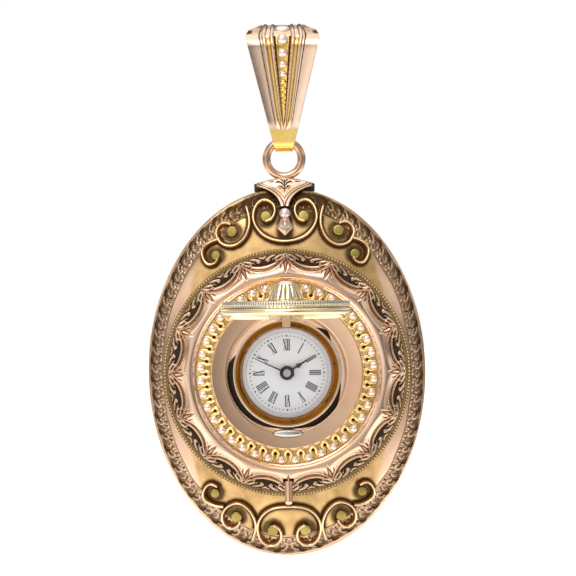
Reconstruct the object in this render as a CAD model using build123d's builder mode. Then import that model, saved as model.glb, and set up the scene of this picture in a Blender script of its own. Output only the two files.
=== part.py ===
from build123d import *
import math
import os

# A lady's open-faced pendant watch, in millimetres.
# X runs across, Z runs up, and the face looks along -Y.
# A depth called forward is measured towards the onlooker from the plane of the ring.
# The origin is the centre of the bail's eye, where a chain or a pin would pass.

# Case
case_half_width = 20.5
case_half_height = 27.2
case_drop = 48.05
case_wall = 0.6
dome_height = 4.5
middle_depth = 1.5
back_depth = 1.7
back_taper = 1.7
back_wall = 0.5
web_thickness = 0.4
web_opening_radius = 9.5
dust_cover_lip = 0.6
dust_cover_thickness = 0.3
key_hole_radius = 0.7
dome_radius_shares = (1.0, 1.0, 0.985, 0.885, 0.78, 0.667, 0.6)
dome_height_shares = (0.0, 0.2, 0.29, 0.644, 0.833, 0.956, 1.0)

# Boss, the round raised face
boss_radius = 18.0
boss_wall = 0.5
boss_skirt_forward = 1.2
milled_radius = 18.15
milled_width = 0.9
milled_forward = 5.4
milled_height = 1.2
milled_teeth = 120
milled_groove = 0.1
scallop_count = 16
scallop_cusp_radius = 17.2
scallop_valley_radius = 15.45
scallop_bite_radius = 4.68
scallop_forward = 5.5
torus_outer_radius = 15.4
torus_inner_radius = 13.35
torus_forward = 7.6
gallery_floor_forward = 6.6
gallery_floor_thickness = 0.45
gallery_outer_radius = 12.5
gallery_forward = 7.4
gallery_count = 40
gallery_hole_radius = 0.5
gallery_hole_place = 11.95
bead_radius = 0.34
bead_place = 12.93
plate_radius = 11.2
plate_forward = 6.9
plate_thickness = 0.7
cove_radius = 8.75
cove_forward = 6.55
collar_radius = 7.8
collar_bore = 7.5
collar_forward = 8.0

# Dial, crystal and hands
dial_radius = 7.4
dial_forward = 6.2
dial_thickness = 0.5
dial_hole_radius = 0.55
rehaut_inner_radius = 6.5
rehaut_forward = 7.95
rehaut_ledge_forward = 7.6
rehaut_slack = 0.02
crystal_radius = 7.15
crystal_edge = 0.35
crystal_rise = 0.25
hand_thickness = 0.15
hour_hand_forward = 6.5
minute_hand_forward = 6.85
hub_forward = 7.3
hub_radius = 0.56
hour_hub_radius = 1.05
minute_hand_length = 5.65
minute_hand_width = 0.42
minute_hand_tail = 1.2
minute_hand_degrees = 294.5
hour_hand_length = 4.8
hour_hand_width = 0.4
hour_spade_radius = 0.62
hour_spade_place = 2.4
hour_hand_degrees = 58.0

# Lid, which stands open
lid_radius = 9.45
lid_edge_radius = 8.9
lid_body_radius = 8.7
lid_bore = 8.1
snap_rim_radius = 8.45
snap_rim_forward = 7.1
snap_rim_share = 0.65
skirt_width = 0.25
skirt_forward = 7.3
flange_back = 7.75
flange_forward = 8.6
lid_ceiling_forward = 8.75
lid_body_forward = 9.1
lid_edge_forward = 9.5
lid_crown_forward = 9.65
hinge_forward = 9.1
hinge_place = 10.1
hinge_radius = 0.5
hinge_pin_radius = 0.2
hinge_bore_radius = 0.23
lid_knuckle_half = 0.75
case_knuckle_start = 0.8
case_knuckle_end = 1.9
lid_notch_half = 0.95
collet_base_radius = 2.6
collet_waist_radius = 1.9
collet_top_radius = 1.5
collet_forward = 12.0
collet_lip = 0.3
stone_depth = 0.5
stone_rise = 0.35

# Catch, push peg and lift finger
catch_half = 2.2
catch_inner = 8.15
catch_outer = 9.1
catch_back = 6.94
catch_forward = 7.6
catch_post_half = 0.35
peg_radius = 0.6
peg_inner = 15.75
peg_outer = 19.3
peg_round_share = 0.9
peg_forward = 6.15
rod_radius = 0.26
rod_forward = 5.85
rod_slot_half = 0.5
push_travel = 0.3
peg_pocket_slack = 0.06
finger_half = 0.6
finger_inner = 6.7
finger_outer = 8.5
finger_post_width = 0.35
finger_forward = 9.1
finger_thickness = 0.35
finger_foot = 6.7
finger_slack = 0.1

# Ring, bail and saddle
ring_radius = 2.6
ring_wire = 0.6
ring_drop = 16.5
bail_eye_radius = 3.1
bail_wall = 0.45
bail_foot_radius = 1.2
bail_foot_drop = 14.0
bail_half_width = 5.5
bail_shoulder_share = 0.58
bail_foot_half = 1.2
bail_outline_shares = ((0.9, 0.77), (1.0, 0.48), (0.93, 0.0))
bail_rib_height = 0.4
bail_rib_width = 0.55
bail_rib_gap = 0.5
bail_rib_top_share = 0.93
bail_rib_top = 0.6
bail_rib_bottom = 11.6
bail_bead_radii = (0.85, 0.72, 0.62, 0.54, 0.46, 0.39, 0.33, 0.27, 0.22)
bail_bead_gap = 0.45
saddle_half = 4.6
saddle_stem_half = 0.67
saddle_top_drop = 19.66
saddle_stem_drop = 23.7
saddle_height = 0.75
saddle_back = 0.85
saddle_bead_radius = 0.72
saddle_bead_drop = 24.45
saddle_bead_lift_share = 1.08
drop_half = 1.2
drop_top = 25.3
drop_wide = 26.95
drop_foot = 28.05
drop_height = 0.9

# Applied scrolls: strips on edge, soldered to the dome, with flat pellets at their curls
strip_width = 0.35
strip_height = 0.85
strip_steps = 36
pellet_height = 0.55
pellet_radius = 0.74
small_pellet_radius = 0.63
top_scroll_shares = (
    (-0.0915, 0.816), (-0.0622, 0.877), (-0.1427, 0.932), (-0.2254, 0.855),
    (-0.1646, 0.7555), (0.0, 0.7136), (0.1646, 0.7555), (0.2254, 0.855),
    (0.1427, 0.932), (0.0622, 0.877), (0.0915, 0.816),
)
bottom_scroll_shares = (
    (-0.0732, -0.811), (-0.0439, -0.871), (-0.1317, -0.9375), (-0.2268, -0.8438),
    (-0.161, -0.7555), (0.0, -0.7296), (0.161, -0.7555), (0.2268, -0.8438),
    (0.1317, -0.9375), (0.0439, -0.871), (0.0732, -0.811),
)
upper_curl_shares = (
    (-0.274, 0.899), (-0.255, 0.822), (-0.276, 0.757), (-0.373, 0.693),
    (-0.465, 0.711), (-0.482, 0.775), (-0.428, 0.812), (-0.388, 0.800),
)
upper_sprig_shares = (
    (-0.470, 0.736), (-0.513, 0.721), (-0.595, 0.662), (-0.538, 0.597), (-0.494, 0.612),
)
lower_curl_shares = (
    (-0.264, -0.909), (-0.239, -0.843), (-0.274, -0.757), (-0.377, -0.7087),
    (-0.479, -0.780), (-0.406, -0.8355), (-0.355, -0.816),
)
lower_sprig_shares = (
    (-0.470, -0.732), (-0.520, -0.722), (-0.614, -0.655), (-0.552, -0.609), (-0.501, -0.629),
)
pellet_shares = (
    (0.135, 0.852), (0.386, 0.773), (0.117, -0.863), (0.380, -0.7875),
)
small_pellet_shares = ((0.503, 0.643), (0.532, -0.655))

# Movement: plates and pillars. Places are across and up from the centre of the dial.
movement_radius = 7.6
main_plate_back = 4.0
main_plate_front = 5.0
dial_seat_width = 0.6
movement_ring_radius = 12.4
movement_ring_back = 5.3
movement_ring_front = 6.08
bridge_back = 1.9
bridge_front = 2.6
pillar_radius = 0.6
pillar_places = ((-6.6, -1.0), (2.6, 6.2), (6.3, 2.3), (5.6, -4.0))
centre_arbor_radius = 0.16
jewel_radius = 0.5
jewel_thickness = 0.3
pivot_radius = 0.12
pivot_slack = 0.03
arbor_radius = 0.14
screw_head_radius = 0.45
screw_head_height = 0.25

# Movement: going train
barrel_place = (-1.93, 3.33)
barrel_module = 0.11
barrel_teeth = 60
barrel_drum_radius = 3.05
barrel_back = 3.0
barrel_front = 3.95
barrel_tooth_depth = 0.3
barrel_arbor_radius = 0.5
ratchet_teeth = 24
ratchet_module = 0.12
ratchet_back = 1.5
ratchet_thickness = 0.3
winding_square = 0.9
square_back = 0.8
click_place = (-4.3, 4.6)
click_length = 1.25
click_width = 0.45
centre_wheel_teeth = 64
centre_wheel_module = 0.09
centre_wheel_back = 2.7
centre_pinion_teeth = 10
third_place = (3.04, -1.11)
third_wheel_teeth = 60
third_wheel_module = 0.08
third_wheel_back = 3.5
third_pinion_teeth = 8
fourth_place = (1.2, -3.1)
fourth_wheel_teeth = 60
fourth_wheel_module = 0.07
fourth_wheel_back = 3.12
fourth_pinion_teeth = 8
escape_place = (-1.0, -3.8)
escape_pinion_teeth = 6
escape_wheel_radius = 1.5
escape_wheel_teeth = 15
escape_wheel_back = 3.4
escape_tooth_degrees = 12.0
gear_tooth_shares = ((-0.32, -1.1), (-0.16, 0.9), (0.16, 0.9), (0.32, -1.1))
wheel_thickness = 0.15
wheel_rim = 0.35
wheel_arms = 4
balance_place = (-2.35, -2.95)
balance_radius = 1.9
balance_back = 2.2
balance_thickness = 0.25
balance_staff_radius = 0.14
cock_back = 1.2
cock_front = 1.7
cock_foot = (-5.9, -3.6)
cock_width = 2.0
hairspring_inner = 0.35
hairspring_outer = 1.3
hairspring_back = 1.85
hairspring_height = 0.15

# Movement: motion works under the dial
motion_module = 0.1
cannon_teeth = 10
cannon_pipe_radius = 0.28
cannon_bore = 0.19
minute_wheel_teeth = 30
minute_wheel_place = (-1.41, -1.41)
minute_pinion_teeth = 8
hour_wheel_teeth = 32
hour_pipe_radius = 0.45
hour_bore = 0.32
motion_back = 5.04
motion_step = 0.22
minute_post_radius = 0.15
minute_bore = 0.18

# Back cover and its hinge
back_hinge_across = 19.9
back_hinge_radius = 0.4
back_hinge_half = 5.4
back_knuckle_half = 1.8
back_pin_radius = 0.16
back_bore_radius = 0.19
back_slack = 0.15
overrun = 3.0

case_z = -case_drop
case_stretch = case_half_height / case_half_width


def ahead(forward, place=(0, 0)):
    """The plane that faces the onlooker at a depth, its origin at a place on the face."""
    across, up = place
    return Plane((across, -forward, case_z + up), x_dir=(1, 0, 0), z_dir=(0, -1, 0))


def drawn(points, plane):
    """A face with straight sides through a list of points on a plane."""
    with BuildSketch(plane) as outline:
        with BuildLine():
            Polyline(*points, close=True)
        make_face()
    return outline.sketch


def turn(points, place=(0, 0), mode=Mode.ADD):
    """A turned piece: (radius, forward) points spun about a line from front to back."""
    across, up = place
    profile = drawn([(across + radius, -forward) for radius, forward in points],
                    Plane.XY.offset(case_z + up))
    revolve(profile, axis=Axis((across, 0, case_z + up), (0, 1, 0)), mode=mode)


def disc(radius, back, front, place=(0, 0), mode=Mode.ADD):
    """A round plate or rod that runs from back to front at a place on the face."""
    with BuildSketch(ahead(back, place)) as outline:
        Circle(radius)
    extrude(outline.sketch, amount=front - back, mode=mode)


def slab(across, up, back, front, mode=Mode.ADD):
    """A square-cornered block given by its limits across, up and in depth."""
    corners = ((across[0], up[0]), (across[1], up[0]), (across[1], up[1]), (across[0], up[1]))
    extrude(drawn(corners, ahead(back)), amount=front - back, mode=mode)


def gear(teeth, module, back, front, place):
    """A gear with straight-sided teeth, its pitch radius half the teeth times the module."""
    pitch = teeth * module / 2
    points = []
    for tooth in range(teeth):
        for step_share, height_share in gear_tooth_shares:
            angle = 2 * math.pi * (tooth + step_share) / teeth
            radius = pitch + height_share * module
            points.append((radius * math.cos(angle), radius * math.sin(angle)))
    extrude(drawn(points, ahead(back, place)), amount=front - back)


def crossings(outer, inner, back, front, place):
    """Cut the openings between the arms of a wheel."""
    with BuildSketch(ahead(back, place)) as windows:
        Circle(outer)
        Circle(inner, mode=Mode.SUBTRACT)
        with PolarLocations(0, wheel_arms):
            Rectangle(outer, wheel_rim, align=(Align.MIN, Align.CENTER), mode=Mode.SUBTRACT)
    extrude(windows.sketch, amount=front - back, mode=Mode.SUBTRACT)


def train_wheel(teeth, module, back, place):
    """A train wheel with its rim, arms and hub."""
    gear(teeth, module, back, back + wheel_thickness, place)
    rim_radius = teeth * module / 2 - module - wheel_rim
    crossings(rim_radius, arbor_radius + wheel_rim, back, back + wheel_thickness, place)


def along_x(radius, start, end, forward, up, mode=Mode.ADD):
    """A round rod that runs across the face."""
    plane = Plane((start, -forward, case_z + up), x_dir=(0, 1, 0), z_dir=(1, 0, 0))
    with BuildSketch(plane) as outline:
        Circle(radius)
    extrude(outline.sketch, amount=end - start, mode=mode)


def upright(radius, across, forward, low, high, mode=Mode.ADD):
    """A round rod that runs up the face."""
    plane = Plane((across, -forward, case_z + low), x_dir=(1, 0, 0), z_dir=(0, 0, 1))
    with BuildSketch(plane) as outline:
        Circle(radius)
    extrude(outline.sketch, amount=high - low, mode=mode)


def finish(piece, label):
    """Name a finished piece and write its file."""
    piece.part.label = label
    export_step(piece.part, "parts/" + label + ".step")


os.makedirs("parts", exist_ok=True)

# Case front: an oval dome with a round opening for the boss
def dome_solid(rise):
    """The solid under the dome's face, raised by a height, in its place."""
    points = [(radius_share * case_half_width, -height_share * dome_height - rise)
              for radius_share, height_share in zip(dome_radius_shares, dome_height_shares)]
    with BuildPart() as blank:
        with BuildSketch(Plane.XY):
            with BuildLine():
                Polyline((0, 0), (case_half_width, 0), *points[1:],
                         (0, -dome_height - rise), close=True)
            make_face()
        revolve(axis=Axis.Y)
        scale(by=(1, 1, case_stretch))
    return blank.part.moved(Location((0, 0, case_z)))


dome = dome_solid(0)
raised_dome = dome_solid(strip_height)
pellet_dome = dome_solid(pellet_height)

with BuildPart() as case_front:
    add(dome)
    with BuildPart(mode=Mode.PRIVATE) as hollow:
        outer = list(zip(dome_radius_shares, dome_height_shares))[2:]
        with BuildSketch(Plane.XY):
            with BuildLine():
                Polyline((0, 0), (case_half_width - case_wall, 0),
                         *[(r * case_half_width - case_wall, case_wall - h * dome_height)
                           for r, h in outer], (0, case_wall - dome_height), close=True)
            make_face()
        revolve(axis=Axis.Y)
        scale(by=(1, 1, case_stretch))
    add(hollow.part.moved(Location((0, 0, case_z))), mode=Mode.SUBTRACT)
    disc(boss_radius, 0, dome_height + overrun, mode=Mode.SUBTRACT)
finish(case_front, "case_front")

# Case middle: the oval band with a web that holds the dust cover
with BuildPart() as case_middle:
    with BuildSketch(ahead(-middle_depth)):
        Ellipse(case_half_width, case_half_height)
        Ellipse(case_half_width - case_wall, case_half_height - case_wall, mode=Mode.SUBTRACT)
    extrude(amount=middle_depth)
    with BuildSketch(ahead(-web_thickness)):
        Ellipse(case_half_width - case_wall, case_half_height - case_wall)
        Circle(web_opening_radius, mode=Mode.SUBTRACT)
    extrude(amount=web_thickness)
    upright(back_hinge_radius + back_slack, -back_hinge_across, -middle_depth,
            -back_hinge_half - back_slack, back_hinge_half + back_slack, mode=Mode.SUBTRACT)
finish(case_middle, "case_middle")

# Dust cover: a thin inner cover over the movement, with holes for winding and setting keys
with BuildPart() as dust_cover:
    disc(web_opening_radius + dust_cover_lip, -web_thickness - dust_cover_thickness, -web_thickness)
    for place in (barrel_place, (0, 0)):
        disc(key_hole_radius, -web_thickness - dust_cover_thickness, -web_thickness, place,
             mode=Mode.SUBTRACT)
finish(dust_cover, "dust_cover")

# Back cover: a shallow oval dish on a long hinge at the wearer's right
def dish(half_width, half_height, taper, back, front):
    """A solid that narrows evenly from an oval at its front to a smaller one at its back."""
    with BuildPart() as shape:
        with BuildSketch(ahead(front)):
            Ellipse(half_width, half_height)
        with BuildSketch(ahead(back)):
            Ellipse(half_width - taper, half_height - taper)
        loft()
    return shape.part


with BuildPart() as back_cover:
    add(dish(case_half_width, case_half_height, back_taper, -middle_depth - back_depth, -middle_depth))
    add(dish(case_half_width - back_wall, case_half_height - back_wall, back_taper - back_wall,
             -middle_depth - back_depth + back_wall, -middle_depth), mode=Mode.SUBTRACT)
    slab((-case_half_width - overrun, -back_hinge_across + back_slack),
         (-case_half_height, case_half_height),
         -middle_depth - back_depth - overrun, overrun, mode=Mode.SUBTRACT)
    slab((-back_hinge_across, -back_hinge_across + back_hinge_radius + back_wall),
         (-back_knuckle_half, back_knuckle_half), -middle_depth - back_hinge_radius, -middle_depth)
    slab((-back_hinge_across + back_slack, -back_hinge_across + back_hinge_radius + back_wall),
         (-back_hinge_half, back_hinge_half),
         -middle_depth - back_depth + back_wall / 2, -middle_depth)
    upright(back_hinge_radius, -back_hinge_across, -middle_depth,
            -back_knuckle_half, back_knuckle_half)
    upright(back_bore_radius, -back_hinge_across, -middle_depth,
            -back_hinge_half - overrun, back_hinge_half + overrun, mode=Mode.SUBTRACT)
    for side in (-1, 1):
        near = side * (back_knuckle_half + pivot_slack)
        far = side * (back_hinge_half + back_slack)
        upright(back_hinge_radius + pivot_slack * 2, -back_hinge_across, -middle_depth,
                min(near, far), max(near, far), mode=Mode.SUBTRACT)
finish(back_cover, "back_cover")

with BuildPart() as back_hinge:
    for side in (-1, 1):
        near = side * (back_knuckle_half + pivot_slack * 2)
        far = side * back_hinge_half
        low, high = min(near, far), max(near, far)
        upright(back_hinge_radius, -back_hinge_across, -middle_depth, low, high)
        slab((-back_hinge_across - back_hinge_radius / 2, -back_hinge_across + back_hinge_radius / 2),
             (low, high), -middle_depth, -middle_depth + back_hinge_radius + back_slack * 2)
        upright(back_bore_radius, -back_hinge_across, -middle_depth,
                low - overrun, high + overrun, mode=Mode.SUBTRACT)
    add(case_middle.part, mode=Mode.SUBTRACT)
finish(back_hinge, "back_hinge_knuckles")

with BuildPart() as back_pin:
    upright(back_pin_radius, -back_hinge_across, -middle_depth, -back_hinge_half, back_hinge_half)
finish(back_pin, "back_hinge_pin")

# Boss: the spun face with its floor for the scallops, its torus and its gallery floor
torus_width = torus_outer_radius - torus_inner_radius
scallop_floor = scallop_forward - boss_wall
gallery_floor_back = gallery_floor_forward - gallery_floor_thickness
with BuildPart() as boss:
    turn((
        (boss_radius, boss_skirt_forward),
        (boss_radius, scallop_floor),
        (torus_outer_radius, scallop_floor),
        (torus_outer_radius, gallery_floor_forward),
        (torus_outer_radius - torus_width / 8, torus_forward - torus_width / 4),
        (torus_outer_radius - torus_width * 3 / 8, torus_forward),
        (torus_outer_radius - torus_width * 5 / 8, torus_forward),
        (torus_inner_radius, torus_forward - torus_width / 6),
        (torus_inner_radius, gallery_floor_forward),
        (plate_radius, gallery_floor_forward),
        (plate_radius, gallery_floor_back),
        (torus_inner_radius + boss_wall / 2, gallery_floor_back),
        (torus_inner_radius + boss_wall, gallery_floor_forward),
        (torus_outer_radius - boss_wall, gallery_floor_forward),
        (torus_outer_radius - boss_wall, scallop_floor - boss_wall),
        (boss_radius - boss_wall, scallop_floor - boss_wall),
        (boss_radius - boss_wall, boss_skirt_forward),
    ))
    upright(peg_radius + peg_pocket_slack, 0, peg_forward,
            -boss_radius - overrun, -peg_inner + push_travel + peg_pocket_slack, mode=Mode.SUBTRACT)
    upright(rod_radius + peg_pocket_slack / 2, 0, rod_forward,
            -boss_radius - overrun, -plate_radius - boss_wall, mode=Mode.SUBTRACT)
finish(boss, "boss")

# Milled ring: a coin edge round the boss
with BuildPart() as milled_ring:
    disc(milled_radius, milled_forward - milled_height, milled_forward)
    disc(milled_radius - milled_width, milled_forward - milled_height, milled_forward,
         mode=Mode.SUBTRACT)
    with BuildSketch(ahead(milled_forward - milled_height)) as grooves:
        with PolarLocations(milled_radius, milled_teeth):
            Circle(milled_groove)
    extrude(grooves.sketch, amount=milled_height, mode=Mode.SUBTRACT)
    add(boss.part, mode=Mode.SUBTRACT)
    add(case_front.part, mode=Mode.SUBTRACT)
finish(milled_ring, "milled_ring")

# Scalloped band: cusps that point outwards with hollows between them
bite_place = scallop_valley_radius + scallop_bite_radius
with BuildPart() as scalloped_band:
    with BuildSketch(ahead(scallop_floor)):
        Circle(scallop_cusp_radius)
        Circle(torus_outer_radius, mode=Mode.SUBTRACT)
        with PolarLocations(bite_place, scallop_count):
            Circle(scallop_bite_radius, mode=Mode.SUBTRACT)
    extrude(amount=boss_wall)
finish(scalloped_band, "scalloped_band")

# Gallery: a ring of looped wire round the inner plate, with a bead between each two loops
with BuildPart() as gallery_wire:
    with BuildSketch(ahead(gallery_floor_forward)):
        Circle(gallery_outer_radius)
        Circle(plate_radius, mode=Mode.SUBTRACT)
        with PolarLocations(gallery_hole_place, gallery_count):
            Circle(gallery_hole_radius, mode=Mode.SUBTRACT)
    extrude(amount=gallery_forward - gallery_floor_forward)
finish(gallery_wire, "gallery_wire")

half_step = 180 / gallery_count
with BuildPart() as gallery_beads:
    with BuildSketch(ahead(gallery_floor_forward)):
        with PolarLocations(bead_place, gallery_count, start_angle=half_step):
            Circle(bead_radius)
    extrude(amount=bead_radius * 2)
finish(gallery_beads, "gallery_beads")

# Inner plate: a flat ring, a cove and the collar round the dial
plate_back = plate_forward - plate_thickness
with BuildPart() as inner_plate:
    turn((
        (plate_radius, plate_back), (plate_radius, plate_forward), (cove_radius, plate_forward),
        (cove_radius - (plate_forward - cove_forward), cove_forward),
        (collar_radius, cove_forward), (collar_radius, collar_forward),
        (collar_bore, collar_forward), (collar_bore, plate_back),
    ))
    slab((-finger_half - finger_slack, finger_half + finger_slack),
         (finger_outer - finger_post_width - finger_slack, finger_outer + finger_slack),
         plate_back, plate_forward, mode=Mode.SUBTRACT)
    slab((-catch_post_half - finger_slack, catch_post_half + finger_slack),
         (-catch_outer, -catch_inner - finger_slack), plate_back, plate_forward, mode=Mode.SUBTRACT)
finish(inner_plate, "inner_plate")

# Rehaut: the sloping ring between the collar and the dial, which carries the crystal
with BuildPart() as rehaut:
    ledge = crystal_radius + rehaut_slack
    turn((
        (collar_bore - rehaut_slack, dial_forward), (collar_bore - rehaut_slack, rehaut_forward),
        (ledge, rehaut_forward), (ledge, rehaut_ledge_forward),
        (ledge - crystal_edge, rehaut_ledge_forward),
        (rehaut_inner_radius, dial_forward + crystal_edge), (rehaut_inner_radius, dial_forward),
    ))
finish(rehaut, "rehaut")

with BuildPart() as crystal:
    turn((
        (0, rehaut_ledge_forward), (crystal_radius, rehaut_ledge_forward),
        (crystal_radius, rehaut_ledge_forward + crystal_edge),
        (crystal_radius * 2 / 3, rehaut_ledge_forward + crystal_edge + crystal_rise * 2 / 3),
        (crystal_radius / 3, rehaut_ledge_forward + crystal_edge + crystal_rise),
        (0, rehaut_ledge_forward + crystal_edge + crystal_rise),
    ))
finish(crystal, "crystal")

with BuildPart() as dial:
    disc(dial_radius, dial_forward - dial_thickness, dial_forward)
    disc(dial_hole_radius, dial_forward - dial_thickness, dial_forward, mode=Mode.SUBTRACT)
finish(dial, "dial")

# Hands
def hand_point(along, aside, degrees):
    """A point beside a hand: so far from the centre and so far to its side."""
    angle = math.radians(degrees)
    return (along * math.sin(angle) + aside * math.cos(angle),
            along * math.cos(angle) - aside * math.sin(angle))


def hand_blade(length, width, degrees, forward):
    """A blade that tapers to its tip."""
    points = [hand_point(0, -width / 2, degrees), hand_point(length / 4, -width / 2, degrees),
              hand_point(length, -width / 8, degrees), hand_point(length, width / 8, degrees),
              hand_point(length / 4, width / 2, degrees), hand_point(0, width / 2, degrees)]
    extrude(drawn(points, ahead(forward)), amount=hand_thickness)


with BuildPart() as minute_hand:
    disc(hub_radius, minute_hand_forward, minute_hand_forward + hand_thickness)
    hand_blade(minute_hand_length, minute_hand_width, minute_hand_degrees, minute_hand_forward)
    hand_blade(minute_hand_tail, minute_hand_width, minute_hand_degrees + 180, minute_hand_forward)
    disc(cannon_pipe_radius, minute_hand_forward, minute_hand_forward + hand_thickness,
         mode=Mode.SUBTRACT)
finish(minute_hand, "minute_hand")

with BuildPart() as hour_hand:
    disc(hour_hub_radius, hour_hand_forward, hour_hand_forward + hand_thickness)
    hand_blade(hour_hand_length, hour_hand_width, hour_hand_degrees, hour_hand_forward)
    disc(hour_spade_radius, hour_hand_forward, hour_hand_forward + hand_thickness,
         hand_point(hour_spade_place, 0, hour_hand_degrees))
    disc(hour_pipe_radius, hour_hand_forward, hour_hand_forward + hand_thickness,
         mode=Mode.SUBTRACT)
finish(hour_hand, "hour_hand")

# Motion works
motion_top = motion_back + motion_step
with BuildPart() as cannon_pinion:
    gear(cannon_teeth, motion_module, motion_back, motion_top, (0, 0))
    disc(cannon_pipe_radius, motion_back, minute_hand_forward + hand_thickness)
    disc(hub_radius, minute_hand_forward + hand_thickness, hub_forward)
    disc(cannon_bore, motion_back, minute_hand_forward + hand_thickness, mode=Mode.SUBTRACT)
finish(cannon_pinion, "cannon_pinion")

hour_wheel_back = motion_top + pivot_slack
with BuildPart() as hour_wheel:
    gear(hour_wheel_teeth, motion_module, hour_wheel_back, hour_wheel_back + wheel_thickness, (0, 0))
    disc(hour_pipe_radius, hour_wheel_back, hour_hand_forward + hand_thickness)
    disc(hour_bore, hour_wheel_back, hour_hand_forward + hand_thickness, mode=Mode.SUBTRACT)
finish(hour_wheel, "hour_wheel")

with BuildPart() as minute_wheel:
    gear(minute_wheel_teeth, motion_module, motion_back, motion_back + wheel_thickness,
         minute_wheel_place)
    gear(minute_pinion_teeth, motion_module, motion_back + wheel_thickness,
         hour_wheel_back + wheel_thickness, minute_wheel_place)
    disc(minute_bore, motion_back, hour_wheel_back + wheel_thickness, minute_wheel_place,
         mode=Mode.SUBTRACT)
finish(minute_wheel, "minute_wheel")

# Main plate: it holds the dial on a raised edge, and the barrel lies in a recess
train_places = (third_place, fourth_place, escape_place)
with BuildPart() as main_plate:
    dial_back = dial_forward - dial_thickness
    turn((
        (0, main_plate_back), (movement_radius, main_plate_back), (movement_radius, dial_back),
        (movement_radius - dial_seat_width, dial_back),
        (movement_radius - dial_seat_width, main_plate_front), (0, main_plate_front),
    ))
    disc(centre_arbor_radius + pivot_slack, main_plate_back, main_plate_front, mode=Mode.SUBTRACT)
    disc(minute_post_radius, main_plate_front, hour_wheel_back + wheel_thickness, minute_wheel_place)
    for place in train_places:
        disc(pivot_radius + pivot_slack, main_plate_back, main_plate_back + jewel_thickness, place,
             mode=Mode.SUBTRACT)
    disc(balance_staff_radius + pivot_slack, main_plate_back, main_plate_back + jewel_thickness,
         balance_place, mode=Mode.SUBTRACT)
    disc(barrel_arbor_radius / 2 + pivot_slack, main_plate_back, main_plate_front, barrel_place,
         mode=Mode.SUBTRACT)
finish(main_plate, "main_plate")

with BuildPart() as pillars:
    for place in pillar_places:
        disc(pillar_radius, bridge_front, main_plate_back, place)
finish(pillars, "pillars")

with BuildPart() as movement_ring:
    disc(movement_ring_radius, movement_ring_back, movement_ring_front)
    disc(movement_radius, movement_ring_back, movement_ring_front, mode=Mode.SUBTRACT)
    slab((-rod_slot_half, rod_slot_half), (-movement_ring_radius - overrun, 0),
         movement_ring_back, movement_ring_front, mode=Mode.SUBTRACT)
finish(movement_ring, "movement_ring")

# Bridges: one plate over the barrel, one over the train, and the cock over the balance
with BuildPart() as barrel_bridge:
    disc(movement_radius, bridge_back, bridge_front)
    slab((-movement_radius, movement_radius), (-movement_radius, 0), bridge_back, bridge_front,
         mode=Mode.SUBTRACT)
    disc(barrel_arbor_radius + pivot_slack, bridge_back, bridge_front, barrel_place,
         mode=Mode.SUBTRACT)
    disc(centre_arbor_radius + jewel_radius, bridge_back, bridge_front, mode=Mode.SUBTRACT)
finish(barrel_bridge, "barrel_bridge")

balance_room = balance_radius + back_slack * 2
with BuildPart() as train_bridge:
    disc(movement_radius, bridge_back, bridge_front)
    slab((-movement_radius, movement_radius), (-back_slack, movement_radius),
         bridge_back, bridge_front, mode=Mode.SUBTRACT)
    disc(balance_room, bridge_back, bridge_front, balance_place, mode=Mode.SUBTRACT)
    slab((-movement_radius, balance_place[0]), (-movement_radius, -back_slack),
         bridge_back, bridge_front, mode=Mode.SUBTRACT)
    for place in (third_place, fourth_place):
        disc(jewel_radius, bridge_back, bridge_front, place, mode=Mode.SUBTRACT)
    disc(centre_arbor_radius + jewel_radius, bridge_back, bridge_front, mode=Mode.SUBTRACT)
    disc(pivot_radius + pivot_slack, bridge_back, bridge_front, escape_place, mode=Mode.SUBTRACT)
finish(train_bridge, "train_bridge")

with BuildPart() as balance_cock:
    reach = [(balance_place[0] + jewel_radius * 2, balance_place[1] + cock_width / 3),
             (cock_foot[0], cock_foot[1] + cock_width / 2),
             (cock_foot[0], cock_foot[1] - cock_width / 2),
             (balance_place[0] + jewel_radius * 2, balance_place[1] - cock_width / 3)]
    extrude(drawn(reach, ahead(cock_back)), amount=cock_front - cock_back)
    disc(pillar_radius, cock_back, main_plate_back, (cock_foot[0] + pillar_radius, cock_foot[1]))
    disc(jewel_radius, cock_back, cock_front, balance_place, mode=Mode.SUBTRACT)
finish(balance_cock, "balance_cock")

# Jewels: rings that the pivots run in
with BuildPart() as jewels:
    for place in (third_place, fourth_place):
        disc(jewel_radius, bridge_front - jewel_thickness, bridge_front, place)
        disc(pivot_radius + pivot_slack, bridge_front - jewel_thickness, bridge_front, place,
             mode=Mode.SUBTRACT)
    disc(jewel_radius, cock_front - jewel_thickness, cock_front, balance_place)
    disc(balance_staff_radius + pivot_slack, cock_front - jewel_thickness, cock_front,
         balance_place, mode=Mode.SUBTRACT)
finish(jewels, "jewels")

with BuildPart() as bridge_screws:
    for place in pillar_places[1:]:
        disc(screw_head_radius, bridge_back - screw_head_height, bridge_back, place)
        slab((place[0] - screw_head_radius, place[0] + screw_head_radius),
             (place[1] - pivot_slack, place[1] + pivot_slack),
             bridge_back - screw_head_height, bridge_back - screw_head_height / 2,
             mode=Mode.SUBTRACT)
finish(bridge_screws, "bridge_screws")

# Barrel, its arbor with the winding square, the mainspring, ratchet wheel and click
with BuildPart() as barrel:
    gear(barrel_teeth, barrel_module, barrel_back, barrel_back + barrel_tooth_depth, barrel_place)
    disc(barrel_drum_radius, barrel_back, barrel_front, barrel_place)
    disc(barrel_drum_radius - boss_wall / 2, barrel_back + back_slack, barrel_front - back_slack,
         barrel_place, mode=Mode.SUBTRACT)
    disc(barrel_arbor_radius + pivot_slack, barrel_back, barrel_front, barrel_place,
         mode=Mode.SUBTRACT)
finish(barrel, "barrel")

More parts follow.
